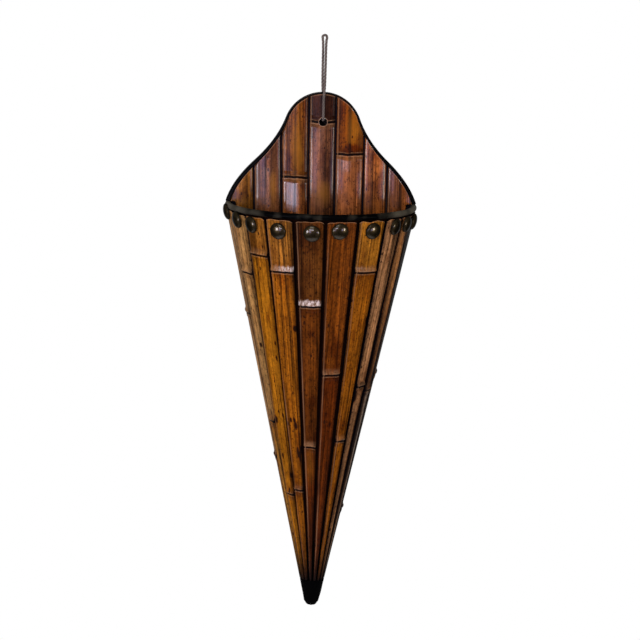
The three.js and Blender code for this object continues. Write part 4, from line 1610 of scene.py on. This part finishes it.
def lath_values(bamboo, seed, finish):
    return {
        "Cane radius": bamboo.cane_radius,
        "Edge round": bamboo.edge_round,
        "Edge drop": bamboo.edge_round,
        "Joint rise": bamboo.joint_rise,
        "Joint reach": bamboo.joint_reach,
        "Wander": bamboo.wander,
        "Seed": seed,
        "Material": finish,
    }


class WALLPOCKET_OT_strips(bpy.types.Operator):
    """Builds the ten tapered strips of the half cone"""

    bl_idname = "wallpocket.strips"
    bl_label = "Front strips"

    def execute(self, context):
        bamboo = context.scene.wall_pocket.bamboo
        tree = lath_tree()
        finish = split_bamboo(
            "Split bamboo, stained amber and lacquered",
            scorch=0.8,
            glare=0.1,
            edge_glare=0.12,
            freckles=-0.2,
        )
        for i in range(len(STRIP_JOINTS)):
            mesh = strip_blank(i, bamboo.edge_round)
            strip = new_object(mesh.name, mesh)
            at_rim, _, _ = strip_at(i, 0)
            at_end, _, _ = strip_at(i, STRIP_END_Z)
            values = {
                **lath_values(bamboo, 3.7 * i, finish),
                "Thickness": STRIP_T,
                "Thinning": THINNING,
                "Round the cone": True,
                "Radius": RIM_R - STRIP_T,
                "Slope": SLOPE - THINNING,
                "Middle": at_rim,
                "Turn": (at_end - at_rim) / STRIP_END_Z,
            }
            run_tree(strip, tree, values)
            finish_piece(strip, POCKET, (f"front_strip_{i + 1:02d}",), finish)
        return {"FINISHED"}


class WALLPOCKET_OT_slats(bpy.types.Operator):
    """Builds the seven slats of the back panel and bores the cord's hole"""

    bl_idname = "wallpocket.slats"
    bl_label = "Back slats"

    def execute(self, context):
        bamboo = context.scene.wall_pocket.bamboo
        tree = lath_tree()
        bore = hole_tree()
        finish = split_bamboo(
            "Split bamboo, stained red-brown and lacquered",
            scorch=1.0,
            glare=1.0,
            edge_glare=0.8,
            freckles=0.0,
        )
        for i in range(len(SLAT_JOINTS)):
            mesh = slat_blank(i, bamboo.panel_edge)
            slat = new_object(mesh.name, mesh)
            values = {
                **lath_values(bamboo, 5.3 * (i + 20), finish),
                "Thickness": SLAT_T,
                "Cane radius": bamboo.panel_radius,
                "Edge round": bamboo.panel_edge,
                "Lean": SLAT_LEANS[i],
                "Round the cone": False,
            }
            run_tree(slat, tree, values)
            if SLAT_SEAMS[i][0] < 0 < SLAT_SEAMS[i + 1][0]:
                run_tree(slat, bore, {"Radius": HOLE_R, "Height": HOLE_Z, "Material": finish})
            finish_piece(slat, POCKET, (f"back_slat_{i + 1}",), finish)
        return {"FINISHED"}


class WALLPOCKET_OT_panel(bpy.types.Operator):
    """Builds the board behind the slats and the black binding round its ogee top"""

    bl_idname = "wallpocket.panel"
    bl_label = "Board and binding"

    def execute(self, context):
        colours = context.scene.wall_pocket.colours
        board = new_object("board", self.board())
        stained = lacquer(
            "Plywood stained black",
            linear("#0c0c14"),
            ground=linear("#46372a"),
            shine=0.5,
            grain=1.4 * MM,
            depth=0.06 * MM,
            wear_and_sheen=BACK_WEAR,
        )
        run_tree(board, hole_tree(), {"Radius": HOLE_R, "Height": HOLE_Z, "Material": stained})
        finish_piece(board, POCKET, ("back_board",), stained)
        binding = new_object("binding", self.binding())
        brushed = lacquer(
            "Cane edging lacquered black",
            tuple(colours.lacquer),
            ground=linear("#261812"),
            shine=0.3,
            grain=4 * MM,
            depth=0.1 * MM,
        )
        finish_piece(binding, POCKET, ("edge_binding",), brushed)
        return {"FINISHED"}

    def board(self):
        """Flat board with eased edges, as wide as the cone below the rim and as the field above it."""
        corner = 1.5 * MM
        tip_end = TIP_Z + corner
        foot = tip_end + 2 * MM
        shoulder = CORNER_Z - FIT
        field = field_rows()
        rows = [(cone_r(tip_end) - BOARD_INSET - corner, tip_end)]
        rows.append((cone_r(foot) - BOARD_INSET, foot))
        rows.append((cone_r(shoulder - FIT) - BOARD_INSET, shoulder - FIT))
        rows.append((field[0][0], shoulder))
        rows += field[1:-1]
        rows.append((0.6 * MM, field[-1][1]))
        rings = []
        for half, z in rows:
            ease = min(0.4 * MM, half / 3)
            near, far = half - ease, half
            right = [(near, 0, z), (far, -ease, z), (far, ease - BOARD_T, z), (near, -BOARD_T, z)]
            rings.append(right + [(-x, y, z) for x, y, z in reversed(right)])
        return loft("board", rings)

    def binding(self):
        """A half-round edging that follows the ogee from rim corner to rim corner."""
        right = crown_outline()
        left = [(Vector((-p.x, p.y)), Vector((-n.x, n.y)), w) for p, n, w in right[-2::-1]]
        front = SLAT_FRONT_Y - 0.1 * MM
        steps = 8
        rings = []
        for place, out, width in right + left:
            ring = [(0.0, 0.0)]
            for k in range(steps + 1):
                turn = math.pi / 2 * k / steps
                inward = 0.6 * width * (1 - math.cos(turn))
                ring.append((inward, front + 0.4 * width * (1 - math.sin(turn))))
            inner = width + 0.8 * FIT
            ring += [(inner - 0.25 * MM, front + 0.05 * MM), (inner, front + 0.3 * MM), (inner, 0.0)]
            rings.append([(place.x - out.x * u, y, place.y - out.y * u) for u, y in ring])
        return loft("binding", rings)


# Lumps of the rim's cane: how many to the radian, and their height as a share of its thickness
LUMPS = 9
LUMP = 0.035


class WALLPOCKET_OT_rim(bpy.types.Operator):
    """Builds the black lining, the bent lath inside the rim and the round cane on top"""

    bl_idname = "wallpocket.rim"
    bl_label = "Lining and rim"

    def execute(self, context):
        colours = context.scene.wall_pocket.colours
        floor = SPIGOT_TOP_Z + FIT
        lining = [(liner_out(RIM_TOP_Z), RIM_TOP_Z), (liner_in(RIM_TOP_Z), RIM_TOP_Z)]
        lining += [(liner_in(floor), floor), (liner_out(floor), floor)]
        liner = new_object("lining", half_turn("lining", lining))
        matt = lacquer(
            "Lining painted black",
            linear("#100503"),
            ground=linear("#160b07"),
            shine=0.6,
            grain=2 * MM,
            depth=0.05 * MM,
            gleam=0.008,
        )
        finish_piece(liner, POCKET, ("pocket_liner",), matt)
        bottom = RIM_TOP_Z - HOOP_H
        ease = 0.6 * MM
        section = [
            (hoop_out(RIM_TOP_Z), RIM_TOP_Z), (hoop_in(RIM_TOP_Z) + ease, RIM_TOP_Z),
            (hoop_in(RIM_TOP_Z), RIM_TOP_Z - ease), (hoop_in(bottom), bottom + ease),
            (hoop_in(bottom) + ease, bottom), (hoop_out(bottom), bottom),
        ]
        hoop = new_object("hoop", half_turn("hoop", section))
        # The olive ground that shows at the rim's ends is painted sheen
        brushed = lacquer(
            "Cane lacquered black",
            tuple(colours.lacquer),
            ground=linear("#484337"),
            shine=0.3,
            grain=3.5 * MM,
            depth=0.12 * MM,
            wear_and_sheen=RIM_END_SHEEN,
            gleam=0.018,
        )
        finish_piece(hoop, POCKET, ("rim_hoop",), brushed)
        trim = new_object("trim", self.trim())
        finish_piece(trim, POCKET, ("rim_trim",), brushed)
        return {"FINISHED"}

    def trim(self):
        """Oval cane bent round the rim, with the slight lumps of cane."""
        middle = (liner_in(0) + RIM_R) / 2
        reach = (RIM_R - liner_in(0)) / 2
        sides = 24
        rings = []
        for angle in arc_angles(140):
            ring = []
            for k in range(sides):
                turn = 2 * math.pi * k / sides
                spot = Vector((LUMPS * angle, math.cos(turn), math.sin(turn)))
                lump = 1 + LUMP * noise.noise(spot)
                r = middle + reach * lump * math.cos(turn)
                ring.append(on_cone(r, angle, lump * TRIM_H / 2 * math.sin(turn)))
            rings.append(ring)
        return loft("trim", rings)


# The tip's rounded end: its height as a share of its radius, and how blunt it is
TIP_ROUND = 0.7
TIP_BLUNT = 0.7
TIP_ROWS = 14
TIP_END_ROWS = 9
# Drips of its thick paint: how many to the radian, how long, how deep, and how far out at the most
DRIPS = 4.05
DRIP_RUN = 10 * MM
DRIP = 0.45 * MM
DRIP_LIMIT = 0.2 * MM


class WALLPOCKET_OT_tip(bpy.types.Operator):
    """Builds the black tip that the strips run into"""

    bl_idname = "wallpocket.tip"
    bl_label = "Tip"

    def execute(self, context):
        colours = context.scene.wall_pocket.colours
        shoulder = STRIP_END_Z - FIT
        rows = [(liner_out(SPIGOT_TOP_Z), SPIGOT_TOP_Z), (liner_out(shoulder), shoulder)]
        rows.append((cone_r(shoulder - FIT) - 0.5 * MM, shoulder - FIT))
        rows.append((cone_r(shoulder - MM), shoulder - MM))
        round_up = TIP_ROUND * cone_r(TIP_Z)
        start = shoulder - 1.6 * MM
        for k in range(TIP_ROWS + 1):
            z = lerp(start, TIP_Z + round_up, k / TIP_ROWS)
            rows.append((cone_r(z), z))
        for k in range(1, TIP_END_ROWS):
            turn = math.pi / 2 * k / TIP_END_ROWS
            r = cone_r(TIP_Z) * math.cos(turn) ** TIP_BLUNT
            rows.append((r, TIP_Z + round_up * (1 - math.sin(turn))))
        rings = []
        for r, z in rows:
            ring = []
            for angle in arc_angles(48):
                spot = Vector((DRIPS * math.sin(angle), DRIPS * math.cos(angle), z / DRIP_RUN))
                lump = DRIP * noise.noise(spot) if z < shoulder - 0.5 * MM else 0.0
                ring.append(on_cone(max(r + min(lump, DRIP_LIMIT), 0.4 * MM), angle, z))
            rings.append(ring)
        tip = new_object("tip", loft("tip", rings))
        thick = lacquer(
            "Wood dipped in black lacquer",
            tuple(colours.lacquer),
            ground=linear("#060505"),
            shine=0.3,
            grain=3 * MM,
            depth=0.35 * MM,
            gleam=0.008,
        )
        finish_piece(tip, POCKET, ("tip_block",), thick)
        return {"FINISHED"}


class WALLPOCKET_OT_nails(bpy.types.Operator):
    """Drives a brass dome nail through the head of each strip"""

    bl_idname = "wallpocket.nails"
    bl_label = "Dome nails"

    def execute(self, context):
        settings = context.scene.wall_pocket
        fittings = settings.fittings
        lean = math.atan(SLOPE)
        points = []
        facings = []
        for i, (drop, shift, turn) in enumerate(zip(NAIL_DROPS, NAIL_SHIFTS, NAIL_TURNS)):
            z = -drop * MM
            middle, _, _ = strip_at(i, z)
            turn = math.radians(turn)
            # the edge of a nail that sits askew stays on the strip
            lift = fittings.nail_radius * abs(math.sin(turn))
            points.append(on_cone(cone_r(z) + lift, middle, z, shift * MM))
            level = bearing(middle + turn, 0)
            facings.extend(level * math.cos(lean) - Vector((0, 0, math.sin(lean))))
        mesh = mesh_from("nails", points, [], smooth=False)
        mesh.attributes.new("facing", "FLOAT_VECTOR", "POINT").data.foreach_set("vector", facings)
        values = {
            "Radius": fittings.nail_radius,
            "Height": fittings.nail_height,
            "Shank radius": 0.9 * MM,
            "Shank length": 7.4 * MM,
            "Dents": 0.009 * MM,
            "Material": antique_brass(settings.colours),
        }
        nails = run_tree(new_object("nails", mesh), nail_tree(), values)
        nodes = [f"rim_nail_{i + 1:02d}" for i in range(len(NAIL_DROPS))]
        finish_piece(nails, POCKET, nodes)
        return {"FINISHED"}


# What the camera and the lamps look at
TARGET = Vector((0.7, -25, -90.4)) * MM
# Azimuth and elevation in degrees, distance, width and height in metres, watts and colour
LAMPS = (
    ("Left softbox", -48, -4, 1.4, 0.3, 0.4, 10.5, "#f3f0ff"),
    ("Right softbox", 50, -4, 1.4, 0.26, 0.36, 6.5, "#fff8ee"),
    ("Window", -16, 8.2, 1.4, 0.8, 0.18, 8, "#e4e0ff"),
    ("Left wash", -27, -6, 1.4, 0.4, 0.3, 2.4, "#c0b8ff"),
    ("Right wash", 34, -6, 1.4, 0.3, 0.3, 1.9, "#c6beff"),
    ("Front fill", -14, 44, 1.6, 0.8, 0.8, 14, "#ffffff"),
)
# Strength of the surround: as soft light, and in reflections ahead of the object and behind it
SOFT_LIGHT = 0.34
ROOM_AHEAD = 0.02
ROOM_BEHIND = 0.4
# The floor's radius, and the distances from its middle between which it fades out
FLOOR_R = 1.4
FLOOR_FADE = (0.3, 0.62)


def bearing(azimuth, elevation):
    """Direction from the object: azimuth from straight ahead, positive to the right."""
    level = math.cos(elevation)
    return Vector((level * math.sin(azimuth), -level * math.cos(azimuth), math.sin(elevation)))


class WALLPOCKET_OT_stage(bpy.types.Operator):
    """Sets up the camera, the soft studio light, the white surround and the floor"""

    bl_idname = "wallpocket.stage"
    bl_label = "Studio"

    def execute(self, context):
        stage = context.scene.wall_pocket.stage
        context.scene.view_settings.view_transform = "Standard"
        self.camera(context.scene, stage)
        for lamp in LAMPS:
            self.lamp(*lamp)
        self.surround(context.scene)
        self.floor(stage.floor_z)
        return {"FINISHED"}

    def camera(self, scene, stage):
        data = bpy.data.cameras.new("Camera")
        data.lens = stage.lens
        data.sensor_width = 36
        data.clip_start = 0.05
        camera = new_object("Camera", data)
        away = bearing(stage.azimuth, stage.elevation)
        camera.location = TARGET + stage.distance * away
        aim = (-away).to_track_quat("-Z", "Y").to_matrix()
        camera.rotation_euler = (aim @ Matrix.Rotation(stage.roll, 3, "Z")).to_euler()
        scene.camera = camera

    def lamp(self, name, azimuth, elevation, distance, wide, tall, power, colour):
        data = bpy.data.lights.new(name, "AREA")
        data.shape = "RECTANGLE"
        data.size = wide
        data.size_y = tall
        data.energy = power
        data.color = linear(colour)
        lamp = new_object(name, data)
        away = bearing(math.radians(azimuth), math.radians(elevation))
        lamp.location = TARGET + distance * away
        lamp.rotation_euler = (-away).to_track_quat("-Z", "Y").to_euler()

    def surround(self, scene):
        """White to the camera; reflections see white behind the object and a dim room in front of it."""
        world = bpy.data.worlds.new("Studio")
        world.use_nodes = True
        scene.world = world
        tree = world.node_tree
        tree.nodes.clear()
        path = add(tree, "ShaderNodeLightPath")
        way = add(tree, "ShaderNodeSeparateXYZ", {0: add(tree, "ShaderNodeTexCoord").outputs["Generated"]})
        room = add(
            tree,
            "ShaderNodeMapRange",
            {0: way.outputs["Y"], 1: 0.55, 2: 0.95, 3: ROOM_AHEAD, 4: ROOM_BEHIND},
        )
        mirror = add(
            tree,
            "ShaderNodeMath",
            {0: path.outputs["Is Glossy Ray"], 1: path.outputs["Is Transmission Ray"]},
            operation="MAXIMUM",
        )
        light = add(tree, "ShaderNodeMix", {0: mirror, 2: SOFT_LIGHT, 3: room})
        light = add(tree, "ShaderNodeMix", {0: path.outputs["Is Camera Ray"], 2: light, 3: 1.0})
        sky = add(tree, "ShaderNodeBackground", {"Color": (1, 1, 1, 1), "Strength": light})
        add(tree, "ShaderNodeOutputWorld", {"Surface": sky})

    def floor(self, height):
        """Pale round floor that fades out into the white surround and keeps the object's shadow."""
        count = 64
        turns = [2 * math.pi * k / count for k in range(count)]
        ring = [(FLOOR_R * math.cos(turn), FLOOR_R * math.sin(turn), height) for turn in turns]
        mesh = mesh_from("floor", ring, [tuple(range(count))], smooth=False)
        material, tree = new_material("Pale studio floor")
        place = add(tree, "ShaderNodeTexCoord").outputs["Object"]
        flat = add(tree, "ShaderNodeVectorMath", {0: place, 1: (1.0, 1.0, 0.0)}, operation="MULTIPLY")
        reach = add(tree, "ShaderNodeVectorMath", {0: flat}, operation="LENGTH").outputs["Value"]
        near, far = FLOOR_FADE
        fade = add(tree, "ShaderNodeMapRange", {0: reach, 1: near, 2: far}, interpolation_type="SMOOTHSTEP")
        paint = add(tree, "ShaderNodeBsdfDiffuse", {"Color": (*linear("#fafafa"), 1)})
        clear = add(tree, "ShaderNodeBsdfTransparent")
        whole = add(tree, "ShaderNodeMixShader", {0: fade.outputs[0], 1: paint, 2: clear})
        add(tree, "ShaderNodeOutputMaterial", {"Surface": whole})
        mesh.materials.append(material)
        new_object("floor", mesh)


BUILD_ORDER = ("cord", "strips", "slats", "panel", "rim", "tip", "nails", "stage")


class WALLPOCKET_PT_build(bpy.types.Panel):
    """Buttons and settings of the wall pocket"""

    bl_idname = "WALLPOCKET_PT_build"
    bl_label = "Wall pocket"
    bl_space_type = "VIEW_3D"
    bl_region_type = "UI"
    bl_category = "Wall pocket"

    def draw(self, context):
        for name in BUILD_ORDER:
            self.layout.operator(f"wallpocket.{name}")
        settings = context.scene.wall_pocket
        for group in (settings.bamboo, settings.fittings, settings.colours, settings.stage):
            box = self.layout.box()
            for label in group.__annotations__:
                box.prop(group, label)


CLASSES = (
    BambooSizes,
    FittingSizes,
    PocketColours,
    StageSizes,
    PocketSettings,
    WALLPOCKET_OT_cord,
    WALLPOCKET_OT_strips,
    WALLPOCKET_OT_slats,
    WALLPOCKET_OT_panel,
    WALLPOCKET_OT_rim,
    WALLPOCKET_OT_tip,
    WALLPOCKET_OT_nails,
    WALLPOCKET_OT_stage,
    WALLPOCKET_PT_build,
)


def register():
    for kind in CLASSES:
        bpy.utils.register_class(kind)
    bpy.types.Scene.wall_pocket = PointerProperty(type=PocketSettings)


def unregister():
    del bpy.types.Scene.wall_pocket
    for kind in reversed(CLASSES):
        bpy.utils.unregister_class(kind)


def main():
    """Builds every piece and the stage."""
    register()
    for name in BUILD_ORDER:
        getattr(bpy.ops.wallpocket, name)()


if __name__ == "__main__":
    main()
